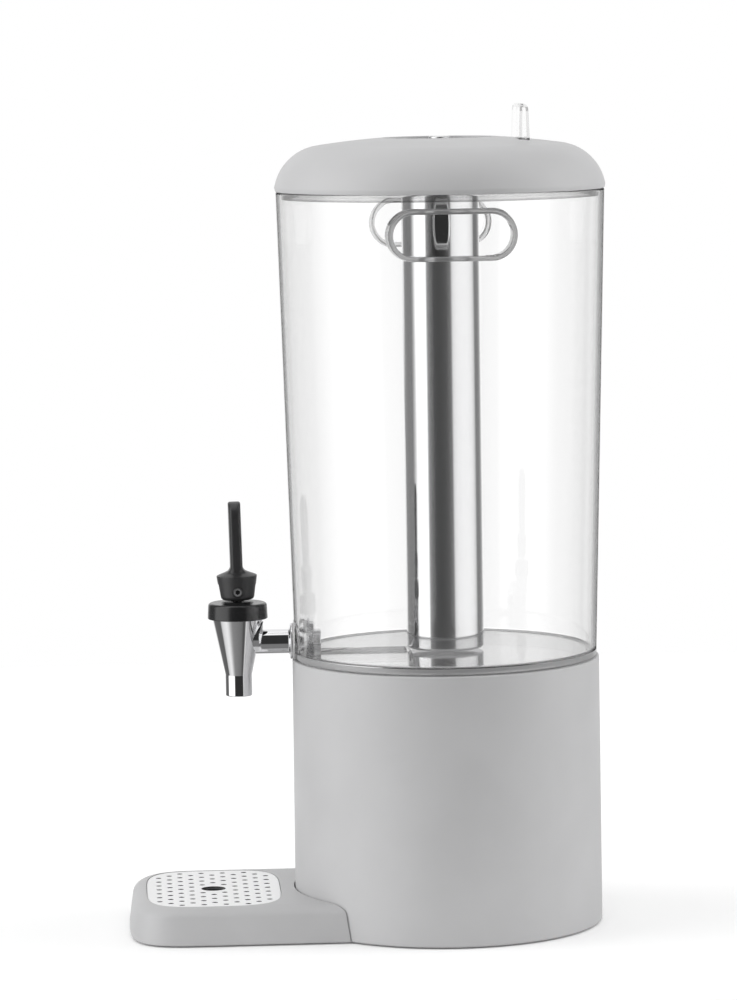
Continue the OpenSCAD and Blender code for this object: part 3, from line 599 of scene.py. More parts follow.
# darker clear finishes for the holder's edges, top and ends: painted shade for its dark outlines
holderEdgeShade = clearPlastic("clearHolderPaintedEdgeShade", 0.12, faceTone=0.3, ior=1.06)
holderTopShade = clearPlastic("clearHolderPaintedTopShade", 0.7, faceTone=0.9, ior=1.04)
holderEndShade = clearPlastic("clearHolderPaintedEndShade", 0.7, faceTone=0.8, ior=1.04)
# the seal's grey tint and its dark lines at the beads are painted shade
sealSilicone = clearPlastic("clearSealSilicone", 0.08, faceTone=0.68, ior=1.41, edgeFrom=0.6,
                            edgeTo=0.8)
shadeByHeight(sealSilicone, [(0.4938, 0.45), (0.4953, 0.66), (0.4964, 1.0), (0.4976, 0.88),
                             (0.4994, 0.7)])
tapChrome = metal("tapChrome", (0.80, 0.80, 0.81), 0.045, streak=0.012)
tubeSteel = metal("polishedTubeSteel", (0.74, 0.74, 0.745), 0.045, (1, 1, 14), 160, 0.012)
capSteel = metal("brushedCapSteel", (0.80, 0.80, 0.805), 0.32, (1, 1, 6), 300, 0.05)
fittingSteel = metal("fittingSteel", (0.62, 0.62, 0.63), 0.28, scale=900, streak=0.06, height=0.00001)
pinSteel = metal("satinPinSteel", (0.34, 0.34, 0.345), 0.35, scale=900, streak=0.05, height=0.00001)
setShader(pinSteel, "Metallic", 0.35)
whiteSilicone = softRubber("whiteSilicone", (0.74, 0.74, 0.74), 0.45)
setShader(whiteSilicone, "Subsurface Weight", 0.2)
setShader(whiteSilicone, "Subsurface Radius", (0.004, 0.004, 0.004))
blackRubber = softRubber("blackRubber", (0.022, 0.022, 0.022), 0.6)
print("finishes ready")


stand = {
    "radius": 105.0, "topRadius": 104.4, "footInset": 0.02, "lift": 1.0, "top": 182.1, "round": 4.0,
    "wall": 3.0, "wallTaper": 0.6, "seatRadius": 100.0, "deck": 174.5,
    "slot": ((-30.4, -110.0, 6.6), (30.4, -97.0, 10.4)),
}


def makeStand():
    s = stand
    inner, ceiling = s["radius"] - s["wall"], s["deck"] - s["wall"]
    shell = turned("standShell", [
        (s["radius"] - s["footInset"], s["lift"], s["round"]), (s["topRadius"], s["top"], 1.0),
        (s["seatRadius"], s["top"], 0.4), (s["seatRadius"], s["deck"], 0.5), (0, s["deck"]),
        (0, ceiling), (inner - s["wallTaper"], ceiling, 3.0), (inner, s["lift"], 0.8),
    ], steps=256, roundSteps=8)
    cut(shell, block("slotTool", *s["slot"]))
    dress(shell, "stand", greyPlastic, "base_shell")


makeStand()
print("stand made")


tank = {
    "footRadius": 102.6, "rimRadius": 110.9, "foot": 182.5, "rim": 499.4, "wall": 3.5, "floor": 187.1,
    "floorThickness": 3.0, "skirt": (96.6, 99.6, 174.5), "rimRound": 1.3, "footRound": 3.0,
    "mouthDepth": 1.2, "mouthWide": 1.3, "mouthOver": (0.1, 3), "gripFrom": 1.0, "wallFrom": 3.0,
    "tapHeight": 194.6, "tapHole": 8.2, "tapHoleEnds": (60, 112), "padRadius": 15.0, "padRound": 0.8,
    "padOuter": (70, 103.42), "padInner": (95.7, 100),
    "outerTrim": ((-20, -110, 150), (20, -99.6, 182.52)),
    "innerTrim": ((-20, -110, 150), (20, -99.0, 183.0)),
}
grip = {
    "height": 473.2, "root": 94.0, "face": 117.9, "length": 84.6, "tall": 33.9, "bar": 3.3,
    "flare": 4.0, "round": 1.6, "roundSteps": 6, "over": (6, 4), "margin": 0.1,
}
sump = {
    "width": 34.0, "from": 26.6, "bottom": 178.1, "wall": 3.0, "round": 1.5, "innerRound": 2.2,
    "ceiling": 0.6, "tall": 8.0, "overlap": 1.0, "inset": 0.3, "over": 5.0, "headroom": 20.0,
}
wallFinish, gripFinish, ringFinish, footFinish, edgeFinish = range(5)


def tankRadius(z):
    t = tank
    wider, taller = t["rimRadius"] - t["footRadius"], t["rim"] - t["foot"]
    return t["footRadius"] + wider * (z - t["foot"]) / taller


def stadiumRing(x, length, tall, steps=20):  # a grip's outline in the plane at x
    half = (length - tall) / 2
    ring = []
    for side, start in ((1, -90), (-1, 90)):
        for k in range(steps + 1):
            a = math.radians(start + 180 * k / steps)
            ring.append((x, side * half + math.cos(a) * tall / 2,
                         grip["height"] + math.sin(a) * tall / 2))
    return ring


def gripFace(side, length, tall, growth):  # the rounded edge of the ring's face, outside or in its hole
    g = grip
    sections = []
    for a in quarterTurn(g["roundSteps"]):
        change = growth * 2 * g["round"] * (1 - math.cos(a))
        x = g["face"] - g["round"] + g["round"] * math.sin(a)
        sections.append(stadiumRing(side * x, length + change, tall + change))
    return sections


def gripRing(side):
    g = grip
    root = stadiumRing(side * g["root"], g["length"] + g["flare"], g["tall"] + g["flare"] / 2)
    return loft("gripRing", [root] + gripFace(side, g["length"], g["tall"], -1))


def gripHole(side):
    g = grip
    length, tall = g["length"] - 2 * g["bar"], g["tall"] - 2 * g["bar"]
    inward, outward = g["over"]
    root = stadiumRing(side * (g["root"] - inward), length, tall)
    end = stadiumRing(side * (g["face"] + outward), length + 2 * g["round"], tall + 2 * g["round"])
    return loft("gripHole", [root] + gripFace(side, length, tall, 1) + [end])


def makePads(shell, cavity):  # flat seats for the tap's washers, outside and in the cavity
    t = tank
    placed = {"steps": 64, "along": "-Y", "centre": (0, 0, t["tapHeight"])}
    near, far = t["padOuter"]
    outer = [(0, near), (t["padRadius"], near), (t["padRadius"], far, t["padRound"]), (0, far)]
    join(shell, cut(turned("pad", outer, **placed), block("padTrim", *t["outerTrim"])))
    cut(shell, cavity)
    near, far = t["padInner"]
    inner = [(0, near), (t["padRadius"], near, t["padRound"]), (t["padRadius"], far), (0, far)]
    join(shell, cut(turned("innerPad", inner, **placed), block("padTrim", *t["innerTrim"])))


def makeSump(shell):  # the channel in the floor that leads to the tap
    s = sump
    half, over, floor, face = s["width"] / 2, s["over"], tank["floor"], -tank["padInner"][0]
    wall, overlap = s["wall"], s["overlap"]
    trough = block("trough", (-half - wall, -tank["skirt"][0] - overlap, s["bottom"] - wall),
                   (half + wall, -s["from"] + wall, floor - tank["floorThickness"] + overlap))
    join(shell, roundEdges(trough, s["round"], 3))
    channel = block("channel", (-half, face - s["inset"], s["bottom"]),
                    (half, -s["from"], floor + s["tall"]))
    roundEdges(channel, s["innerRound"], 4)
    ceiling = block("channelTrim", (-half - over, face - over, floor + s["ceiling"]),
                    (half + over, 0, floor + s["headroom"]))
    cut(shell, cut(channel, ceiling))


# the grip, ring and foot-edge finishes are painted shade and painted light for how the clear plastic
# refracts there
def tankFinish(place, polygon):
    t = tank
    x, y, z = place
    outward = polygon.normal.xy.dot((x, y))
    if abs(x) > grip["face"] - grip["round"] - grip["margin"]:
        return ringFinish
    if abs(x) > t["rimRadius"] + t["gripFrom"]:
        return gripFinish
    if z > t["floor"] + t["wallFrom"]:
        return footFinish if outward < 0 else wallFinish
    if z < t["floor"] and math.hypot(x, y) > t["footRadius"] - t["footRound"] and outward > 0:
        return edgeFinish
    return footFinish


def makeTank():
    t = tank
    skirtIn, skirtOut, skirtFoot = t["skirt"]
    under, mouth = t["floor"] - t["floorThickness"], t["rimRadius"] - t["wall"]
    shell = turned("clearTank", [
        (t["footRadius"], t["foot"], t["footRound"]), (tankRadius(t["floor"]), t["floor"]),
        (t["rimRadius"], t["rim"], t["rimRound"]), (0, t["rim"]), (0, under), (skirtIn, under, 1.0),
        (skirtIn, skirtFoot, 0.8), (skirtOut, skirtFoot, 0.8), (skirtOut, t["foot"], 0.6),
    ], steps=256, roundSteps=6)
    for side in sides:
        join(shell, gripRing(side))
    over, above = (t["rim"] + reach for reach in t["mouthOver"])
    cavity = turned("cavity", [
        (0, t["floor"]), (tankRadius(t["floor"]) - t["wall"], t["floor"], 2.0),
        (mouth, t["rim"] - t["mouthDepth"], 0.8), (mouth + t["mouthWide"], over),
        (mouth + t["mouthWide"], above), (0, above),
    ], steps=256, roundSteps=6)
    makePads(shell, cavity)
    makeSump(shell)
    for side in sides:
        cut(shell, gripHole(side))
    cut(shell, rod("tapHole", t["tapHole"], *t["tapHoleEnds"], steps=64, along="-Y",
                   centre=(0, 0, t["tapHeight"])))
    tidyMesh(shell.data, 1e-6)
    dress(shell, "tank", tankPlastic, "tank", sharpAngle=28)
    finishFaces(shell, (gripShadePlastic, ringShadePlastic, footPlastic, footEdgeLightPlastic), tankFinish)


makeTank()
print("tank made")


lid = {
    "crown": 535.85, "crownRadius": 580.0, "shoulderRadius": 34.0, "radius": 112.1, "rim": 499.4,
    "crownSteps": 26, "shoulderSteps": 34, "wall": 2.8, "web": 2.8, "tuck": 1.2,
    "recessRadius": 38.6, "recess": 528.5, "recessFloor": 2.8, "recessWall": 2.5,
    "sleeve": (26.6, 29.1, 505.1), "seat": 101.97, "groove": (103.57, 105.17, 1.4),
    "pocket": ((-30.4, 50.85, 528.64), (30.4, 59.15, 545.0)),
    "pocketBoss": ((-32.8, 48.45, 526.24), (32.8, 61.55, 531.6)),
}


def domeArc(inset, fromRadius, toHeight):  # points of the dome from the crown down to a height
    d = lid
    crown = d["crownRadius"] - inset
    crownCentre = d["crown"] - d["crownRadius"]
    shoulder = d["shoulderRadius"] - inset
    x, between = d["radius"] - d["shoulderRadius"], d["crownRadius"] - d["shoulderRadius"]
    z = crownCentre + math.sqrt(between ** 2 - x ** 2)
    meet = math.asin(x / between)
    first = math.asin(fromRadius / crown)
    last = math.acos(max(-1, min(1, (toHeight - z) / shoulder)))
    points = []
    for k in range(d["crownSteps"]):
        a = first + (meet - first) * k / d["crownSteps"]
        points.append((crown * math.sin(a), crownCentre + crown * math.cos(a)))
    for k in range(d["shoulderSteps"] + 1):
        a = meet + (last - meet) * k / d["shoulderSteps"]
        points.append((x + shoulder * math.sin(a), z + shoulder * math.cos(a)))
    return points


def makeLid():
    d = lid
    grooveIn, grooveOut, grooveDeep = d["groove"]
    sleeveIn, sleeveOut, sleeveFoot = d["sleeve"]
    rim, grooveTop, under = d["rim"], d["rim"] + grooveDeep, d["recess"] - d["recessFloor"]
    outer = domeArc(0, d["recessRadius"], rim + 2 * d["tuck"])
    inner = domeArc(d["wall"], d["recessRadius"] + d["recessWall"], rim + d["web"])[::-1]
    shell = turned("lidShell", [
        (*outer[0], 0.5), *outer[1:], (d["radius"] - d["tuck"], rim, 0.7), (grooveOut, rim),
        (grooveOut, grooveTop), (grooveIn, grooveTop), (grooveIn, rim), (d["seat"], rim, 0.3),
        (d["seat"], rim + d["web"], 0.4), *inner, (inner[-1][0], under, 0.6), (sleeveOut, under, 0.8),
        (sleeveOut, sleeveFoot, 0.5), (sleeveIn, sleeveFoot, 0.5), (sleeveIn, d["recess"], 0.4),
        (d["recessRadius"], d["recess"], 0.3),
    ], steps=224)
    join(shell, roundEdges(block("pocketBoss", *d["pocketBoss"]), 0.8))
    cut(shell, block("pocket", *d["pocket"]))
    dress(shell, "lid", greyPlastic, "lid")


makeLid()
print("lid made")


iceTube = {
    "radius": 26.2, "wall": 1.0, "foot": 188.6, "footRound": 1.8, "top": 529.3, "flange": 38.2,
    "thickness": 1.2,
}
tubeCap = {
    "top": 532.1, "rest": 530.5, "radius": 38.2, "plug": (22.8, 24.8, 520.1),
    "groove": (524.1, 526.5, 1.2), "neck": 4.5, "knob": 7.25, "knobFoot": 533.3, "knobTop": 535.2,
}


def makeTube():
    t = iceTube
    top, inner, floor = t["top"] + t["thickness"], t["radius"] - t["wall"], t["foot"] + t["wall"]
    shell = turned("iceTube", [
        (0, t["foot"]), (t["radius"], t["foot"], t["footRound"]), (t["radius"], t["top"], 0.4),
        (t["flange"], t["top"], 0.5), (t["flange"], top, 0.5), (inner, top, 0.8),
        (inner, floor, t["footRound"] - t["wall"]), (0, floor),
    ], steps=160)
    dress(shell, "ice_tube", tubeSteel, "ice_tube")


def makeCap():
    c = tubeCap
    plugIn, plugOut, plugFoot = c["plug"]
    low, high, deep = c["groove"]
    cap = turned("tubeCap", [
        (0, c["rest"]), (plugIn, c["rest"], 0.2), (plugIn, plugFoot, 0.6), (plugOut, plugFoot, 0.6),
        (plugOut, low, 0.1), (plugOut - deep, low, 0.1), (plugOut - deep, high, 0.1),
        (plugOut, high, 0.1), (plugOut, c["rest"], 0.3), (c["radius"], c["rest"], 0.5),
        (c["radius"], c["top"], 0.7), (c["neck"], c["top"], 0.4), (c["neck"], c["knobFoot"], 0.3),
        (c["knob"], c["knobFoot"], 0.9), (c["knob"], c["knobTop"], 0.9), (0, c["knobTop"]),
    ])
    dress(cap, "tube_cap", capSteel, "tube_cap")


makeTube()
makeCap()
print("ice tube made")


holder = {
    "length": 60.0, "foot": 528.64, "top": 556.3, "thick": 7.5, "topThick": 5.7, "gap": 2.4,
    "back": 55.0, "leafFoot": 2.15, "cornerRound": 7.0, "edgeRound": 0.5, "trim": (0.01, 1, 8),
    "topFrom": 0.5, "smallFace": 80e-6, "flat": 0.97,
}


def makeHolder():
    h = holder
    ridge, foot, leaf = h["topThick"] / 2, h["foot"], h["thick"] / 2
    rise = h["top"] - ridge
    outline = [(leaf, foot), *arc(0, rise, ridge, range(0, 181, 10)), (-leaf, foot),
               (-leaf + h["leafFoot"], foot), *arc(0, rise, h["gap"] / 2, range(180, -1, -10)),
               (leaf - h["leafFoot"], foot)]
    half = h["length"] / 2
    piece = loft("labelHolder", [[(x, y + h["back"], z) for y, z in outline] for x in (-half, half)])
    r = h["cornerRound"]
    over, below, reach = h["trim"]
    front = [(-half - over, foot - below), (half + over, foot - below),
             *arc(half - r, h["top"] - r, r, range(0, 91, 9)),
             *arc(-half + r, h["top"] - r, r, range(90, 181, 9))]
    trim = loft("holderTrim", [[(x, h["back"] + side * reach, z) for x, z in front] for side in sides])
    roundEdges(combine(piece, trim, "INTERSECT"), h["edgeRound"], 2, 40)
    dress(piece, "label_holder", holderPlastic, "label_holder", sharpAngle=50)

    def choose(place, polygon):  # 1 is an edge, 2 the top, 3 an end and 0 a leaf; edges, top and ends take painted shade
        if place.z > rise + h["topFrom"]:
            return 2
        if polygon.area < h["smallFace"] and max(abs(k) for k in polygon.normal) < h["flat"]:
            return 1
        return 3 if abs(polygon.normal.x) > h["flat"] else 0

    finishFaces(piece, (holderEdgeShade, holderTopShade, holderEndShade), choose)


makeHolder()
print("label holder made")


tap = {
    "reach": 141.2, "height": 194.6, "nozzleRadius": 9.1, "nozzleFoot": 158.1, "nozzleTop": 172.5,
    "bodyTop": 210.9, "bodyRadius": 17.3, "neckRadius": 16.6, "neckTop": 216.3, "bore": 14.2,
    "outlet": 6.5, "seat": 177.3, "shankRadius": 8.15, "shankBore": 5.5, "shankEnd": 84.92,
    "flange": (12.15, 104.42, 106.02), "flangeFillet": 1.6, "flangeRise": 1.0, "bossRadius": 10.6,
    "bossRise": 3.26, "bossStart": 110.0, "bossFoot": 160.0, "over": 2.0, "boreOver": 3.0,
    "edgeRound": 0.25,
}
bonnet = {
    "foot": 210.9, "top": 221.7, "radius": 20.4, "topRadius": 19.88, "round": 2.1, "collar": 10.2,
    "collarRise": 0.9, "collarFoot": 1.2, "hole": 4.4, "skirt": 16.65, "ceiling": 217.8,
    "well": (7.0, 1.5),
}
lever = {
    "pin": 229.8, "lean": 1.2, "hubFoot": -6.0, "hubRound": 3.0, "hubLow": 11.92, "hubWide": 13.7,
    "shoulder": 9.8, "rim": 0.8, "rimRound": 0.3, "rimEase": 0.09, "slope": 21, "fillet": 4.2,
    "thick": 8.5, "width": 22.0, "rootWidth": 15.8, "tip": 60.8, "tipRound": 1.6, "tipWidth": 0.4,
    "power": 4.2, "slot": 6.8, "slotTop": 4.8, "slotOver": (30, 6), "slotRound": 0.8,
    "pinHole": 2.05, "headHole": (3.4, 9.5), "over": 20, "edgeRound": 0.2, "hubSteps": 6,
    "filletSteps": 10, "paddleSteps": 12, "tipSteps": 18,
}
leverPin = {
    "head": 6.2, "shaft": 4.0, "length": 22.4, "thick": 1.4, "chamfer": 0.5, "socket": 3.4,
    "socketDeep": 1.2, "socketSides": 6, "over": 1.0, "margin": 0.1,
}
tapSpring = {"turns": 6.0, "wire": 1.2, "wireSides": 12, "lift": 3.4, "pointsPerTurn": 24}
tapAxis = (0, -tap["reach"], 0)
leverPlace = Vector((0, -tap["reach"], lever["pin"]))


def makeTapBody():
    t = tap
    level = {"along": "-Y", "centre": (0, 0, t["height"])}
    body = turned("tapBody", [
        (0, t["nozzleFoot"]), (t["nozzleRadius"], t["nozzleFoot"], 0.7),
        (t["nozzleRadius"], t["nozzleTop"], 1.5), (t["bodyRadius"], t["bodyTop"], 0.2),
        (t["neckRadius"], t["bodyTop"]), (t["neckRadius"], t["neckTop"], 0.3), (0, t["neckTop"]),
    ], centre=tapAxis)
    flange, near, far = t["flange"]
    shank = turned("shank", [
        (0, t["shankEnd"]), (t["shankRadius"], t["shankEnd"], 0.8), (t["shankRadius"], near),
        (flange, near, 0.4), (flange, far, 0.7), (t["shankRadius"] + t["flangeFillet"], far, 1.2),
        (t["shankRadius"], far + t["flangeRise"], 0.6), (t["shankRadius"], t["reach"]), (0, t["reach"]),
    ], steps=96, **level)
    boss = rod("boss", t["bossRadius"], t["bossStart"], t["reach"], steps=96, along="-Y",
               centre=(0, 0, t["height"] + t["bossRise"]))
    limit = rod("bossLimit", t["bodyRadius"], t["bossFoot"], t["bodyTop"], centre=tapAxis)
    join(body, combine(boss, limit, "INTERSECT"))
    join(body, shank)
    low, high = t["nozzleFoot"] - t["over"], t["neckTop"] + t["over"]
    cut(body, turned("hollow", [
        (0, low), (t["outlet"], low), (t["outlet"], t["seat"], 0.5), (t["bore"], t["bodyTop"]),
        (t["bore"], high), (0, high),
    ], steps=96, centre=tapAxis))
    cut(body, rod("shankHollow", t["shankBore"], t["shankEnd"] - t["boreOver"], t["reach"],
                  steps=64, **level))
    roundEdges(body, t["edgeRound"], 2, 30)
    dress(body, "tank", tapChrome, "tap_body", sharpAngle=30)


def makeBonnet():
    b = bonnet
    top, (wellRadius, wellDeep) = b["top"] + b["collarRise"], b["well"]
    wellTop = b["ceiling"] + wellDeep
    cap = turned("tapBonnet", [
        (b["skirt"], b["foot"], 0.2), (b["radius"], b["foot"], 0.6),
        (b["topRadius"], b["top"], b["round"]), (b["collar"] + b["collarFoot"], b["top"], 0.5),
        (b["collar"], top, 0.4), (b["hole"], top, 0.3), (b["hole"], wellTop), (wellRadius, wellTop),
        (wellRadius, b["ceiling"]), (b["skirt"], b["ceiling"]),
    ], roundSteps=7, centre=tapAxis)
    dress(cap, "tank", blackPlastic, "tap_bonnet")


def leverRing(z, halfX, halfY, power=2, count=72):
    return [(*ovalPoint(halfX, halfY, power, 2 * math.pi * k / count), z) for k in range(count)]


def leverShoulders():  # (height, half thickness) of the shoulders and their fillet to the paddle
    v = lever
    rim, wide = v["shoulder"] + v["rim"], v["hubWide"]
    slope = math.radians(v["slope"])
    centre = v["thick"] / 2 + v["fillet"]
    start = centre - v["fillet"] * math.sin(slope)
    rise = rim + (wide - start) * math.tan(slope)
    neck = rise + v["fillet"] * math.cos(slope)
    steps, bends = v["hubSteps"], v["filletSteps"]
    points = [(rim + (rise - rim) * k / steps, wide + (start - wide) * k / steps)
              for k in range(1, steps + 1)]
    for k in range(1, bends + 1):
        a = math.radians(270) - slope - (math.radians(90) - slope) * k / bends
        points.append((neck + v["fillet"] * math.sin(a), centre + v["fillet"] * math.cos(a)))
    return points, neck


def leverSections():
    v = lever
    foot, low, wide, r0 = v["hubFoot"], v["hubLow"], v["hubWide"], v["hubRound"]
    tip, half, edge, corner = v["tip"], v["width"] / 2, v["thick"] / 2, v["tipRound"]
    shoulder, rim, small, ease = v["shoulder"], v["shoulder"] + v["rim"], v["rimRound"], v["rimEase"]

    def paddleHalf(z):  # half the paddle's width, which grows towards its round tip
        return (v["rootWidth"] + (v["width"] - v["rootWidth"]) * z / (tip - half)) / 2

    steps, straight = v["hubSteps"], v["paddleSteps"]
    hub = [(foot + r0 * (1 - math.cos(a)), low - r0 + r0 * math.sin(a)) for a in quarterTurn(steps)]
    hub += [(foot + r0 + (shoulder - foot - r0) * k / steps, low + (wide - low) * k / steps)
            for k in range(1, steps)]
    hub += [(shoulder, wide), (rim - small, wide), (rim - ease, wide - ease), (rim, wide - small)]
    sections = [leverRing(z, r, r) for z, r in hub]
    shoulders, neck = leverShoulders()
    for k, (z, r) in enumerate(shoulders):
        share = (k + 1) / len(shoulders)
        sections.append(leverRing(z, max(r, paddleHalf(z)), r, 2 + (v["power"] - 2) * share ** 2))
    for k in range(1, straight + 1):
        z = neck + (tip - half - neck) * k / straight
        sections.append(leverRing(z, paddleHalf(z), edge, v["power"]))
    for a in quarterTurn(v["tipSteps"])[1:]:  # the round tip, with a flat crown in side view
        z = tip - half + half * math.sin(a)
        over = max(0, z - (tip - corner)) / corner
        y = edge - corner + corner * math.sqrt(max(0, 1 - over ** 2))
        sections.append(leverRing(z, max(v["tipWidth"], half * math.cos(a)), y, v["power"]))
    return sections


def makeLever():
    v = lever
    piece = loft("tapLever", leverSections())
    long, below = v["slotOver"]
    slot = block("slotTool", (-v["slot"] / 2, -long, v["hubFoot"] - below),
                 (v["slot"] / 2, long, v["slotTop"]))
    slot.data.transform(Matrix.Rotation(math.radians(-v["lean"]), 4, "X"))
    cut(piece, roundEdges(slot, v["slotRound"]))
    cut(piece, rod("pinHole", v["pinHole"], -v["over"], v["over"], steps=48, along="X"))
    radius, start = v["headHole"]
    sinkEnds(piece, "headHole", radius, start, v["over"], 48)
    roundEdges(piece, v["edgeRound"], 2, 50)
    leaning = Matrix.Rotation(math.radians(v["lean"]), 4, "X")
    piece.data.transform(Matrix.Translation(leverPlace * mm) @ leaning)
    dress(piece, "lever", leverPlastic, "tap_lever", sharpAngle=30)


def makePin():
    p = leverPin
    head, shaft, half, socket = p["head"] / 2, p["shaft"] / 2, p["length"] / 2, p["socket"] / 2
    bevel, neck, bottom = p["chamfer"], half - p["thick"], half - p["socketDeep"]
    corners = [(0, -half), (head - bevel, -half), (head, -half + bevel), (head, -neck), (shaft, -neck)]
    corners += [(r, -z) for r, z in corners[::-1]]
    pin = turned("leverPin", corners, steps=48, along="X")
    sinkEnds(pin, "socket", socket, bottom, half + p["over"], p["socketSides"])
    pin.data.transform(Matrix.Translation(leverPlace * mm))
    dress(pin, "stem", pinSteel, "lever_pin")

    def shaded(place, polygon):  # the sockets' faces, painted black as the shade inside them
        x, y, z = place - leverPlace
        return math.hypot(y, z) < socket and bottom - p["margin"] < abs(x) < half - p["margin"]

    finishFaces(pin, [blackPlastic], shaded)


def coil():  # a helix of round wire with closed ends
    tree, entry = startTree("coil", {
        "Turns": "Float", "Radius": "Float", "Height": "Float", "Wire Radius": "Float", "Points": "Int",
        "Material": "Material",
    }, "Coil")
    helix = addNode(tree, "GeometryNodeCurveSpiral", {
        "Rotations": entry["Turns"], "Start Radius": entry["Radius"], "End Radius": entry["Radius"],
        "Height": entry["Height"], "Resolution": entry["Points"],
    })
    wire = circle(tree, entry["Wire Radius"], tapSpring["wireSides"])
    return endTree(tree, swept(tree, helix, wire, True), entry["Material"])


def makeSpring():  # a coil of round wire in the place of the tap_spring node, carried with the stem
    s = tapSpring
    low, high = (Vector(corner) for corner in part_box("tap_spring"))
    wire = s["wire"] / 2 * mm
    piece = addObject("tapSpring", bpy.data.meshes.new("tapSpring"))
    grow(piece, coil(), {
        "Turns": s["turns"], "Radius": (high.x - low.x) / 2 - wire, "Height": high.z - low.z - 2 * wire,
        "Wire Radius": wire, "Points": s["pointsPerTurn"], "Material": fittingSteel,
    })
    piece.data.transform(Matrix.Translation((0, -tap["reach"] * mm, low.z + wire)))
    dress(piece, "stem", fittingSteel, "tap_spring")
    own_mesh(piece)


makeTapBody()
makeBonnet()
makeLever()
makePin()
makeSpring()
print("tap made")


tray = {
    "halfWidth": 78.0, "halfDepth": 57.5, "middle": 161.0, "power": 4.0, "lift": 1.0, "top": 25.8,
    "straightFrom": 40.0, "footRound": 1.2, "edgeWide": 12.0, "edgeTall": 6.8, "draft": 2.4,
    "standGap": 105.9, "standReach": (-5, 40), "floor": 4.0, "floorRound": 4.0, "ledge": 23.8,
    "ledgeWide": 3.2, "wall": 3.0, "back": 52.5, "gridGap": 0.4, "edgeRound": 0.35,
    "tongue": ((-30, -115, 7), (30, -99.4, 10)), "tongueTrim": ((-40, -99.5, 0), (40, -90, 20)),
    "tongueRound": 0.6, "pocketOver": 4, "basinOver": 2, "underOver": 2, "footSteps": 3,
    "edgeSteps": 14, "floorSteps": 5,
}
grid = {
    "width": 131.6, "depth": 90.6, "thick": 1.5, "hole": 4.0, "holeSides": 20, "rowStep": 7.4,
    "holeStep": 14.3, "drain": 16.6, "drainSides": 48, "rows": 13, "columns": 11, "reach": 0.8,
    "outlineSteps": 120, "edgeRound": 0.2, "border": 2.0, "steep": 0.3,
}


def squareOval(halfX, halfY, steps=96):
    return [ovalPoint(halfX, halfY, tray["power"], 2 * math.pi * k / steps) for k in range(steps)]


def pocketOval(inset):  # the grid's outline at its place in the tray
    oval = squareOval(grid["width"] / 2 - inset, grid["depth"] / 2 - inset)
    return [(x, y - tray["middle"]) for x, y in oval]


def trayPlan(inset, z, steps=64):  # the front half of a squared oval with straight sides that run back
    t = tray
    halfX, halfY = t["halfWidth"] - inset, t["halfDepth"] - inset
    front = [ovalPoint(halfX, halfY, t["power"], math.pi + math.pi * k / steps)
             for k in range(steps + 1)]
    ring = [(x, y - t["middle"], z) for x, y in front]
    side, back = -t["middle"] + t["straightFrom"], -t["back"]
    return ring + [(halfX, side, z), (halfX, back, z), (-halfX, back, z), (-halfX, side, z)]


def makeTray():
    t = tray
    side, top, wall = t["top"] - t["edgeTall"], t["top"], t["wall"]
    foot, bend = t["footRound"], t["floorRound"]
    sections = [trayPlan(foot * (1 - math.sin(a)), t["lift"] + foot * (1 - math.cos(a)))
                for a in quarterTurn(t["footSteps"])]
    sections += [trayPlan(t["draft"] + t["edgeWide"] * (1 - math.cos(a)),
                          side + t["edgeTall"] * math.sin(a))
                 for a in quarterTurn(t["edgeSteps"])]
    shell = loft("dripTray", sections)
    cut(shell, rod("standCutter", t["standGap"], *t["standReach"], steps=256))
    cut(shell, prism("pocket", pocketOval(-t["gridGap"]), t["ledge"], top + t["pocketOver"]))
    basin = [[(x, y, t["floor"] + bend * (1 - math.cos(a)))
              for x, y in pocketOval(t["ledgeWide"] + bend * (1 - math.sin(a)))]
             for a in quarterTurn(t["floorSteps"])]
    basin.append([(x, y, top + t["basinOver"]) for x, y in pocketOval(t["ledgeWide"])])
    cut(shell, loft("basin", basin))
    under = loft("underside", [trayPlan(wall, -t["underOver"]), trayPlan(t["draft"] + wall, side),
                               trayPlan(t["draft"] + t["edgeWide"] + wall, top - wall)])
    cut(under, rod("backWall", t["standGap"] + wall, *t["standReach"], steps=256))
    cut(under, prism("core", pocketOval(t["ledgeWide"] - wall), *t["standReach"]))
    cut(shell, under)
    tongue = cut(block("tongue", *t["tongue"]), block("tongueTrim", *t["tongueTrim"]))
    join(shell, roundEdges(tongue, t["tongueRound"]))
    roundEdges(shell, t["edgeRound"], 2, 40)
    dress(shell, "tray", greyPlastic, "drip_tray")


def joined(tree, *sources):
    step = addNode(tree, "GeometryNodeJoinGeometry")
    for source in sources:
        connect(tree, source, step.inputs["Geometry"])
    return step


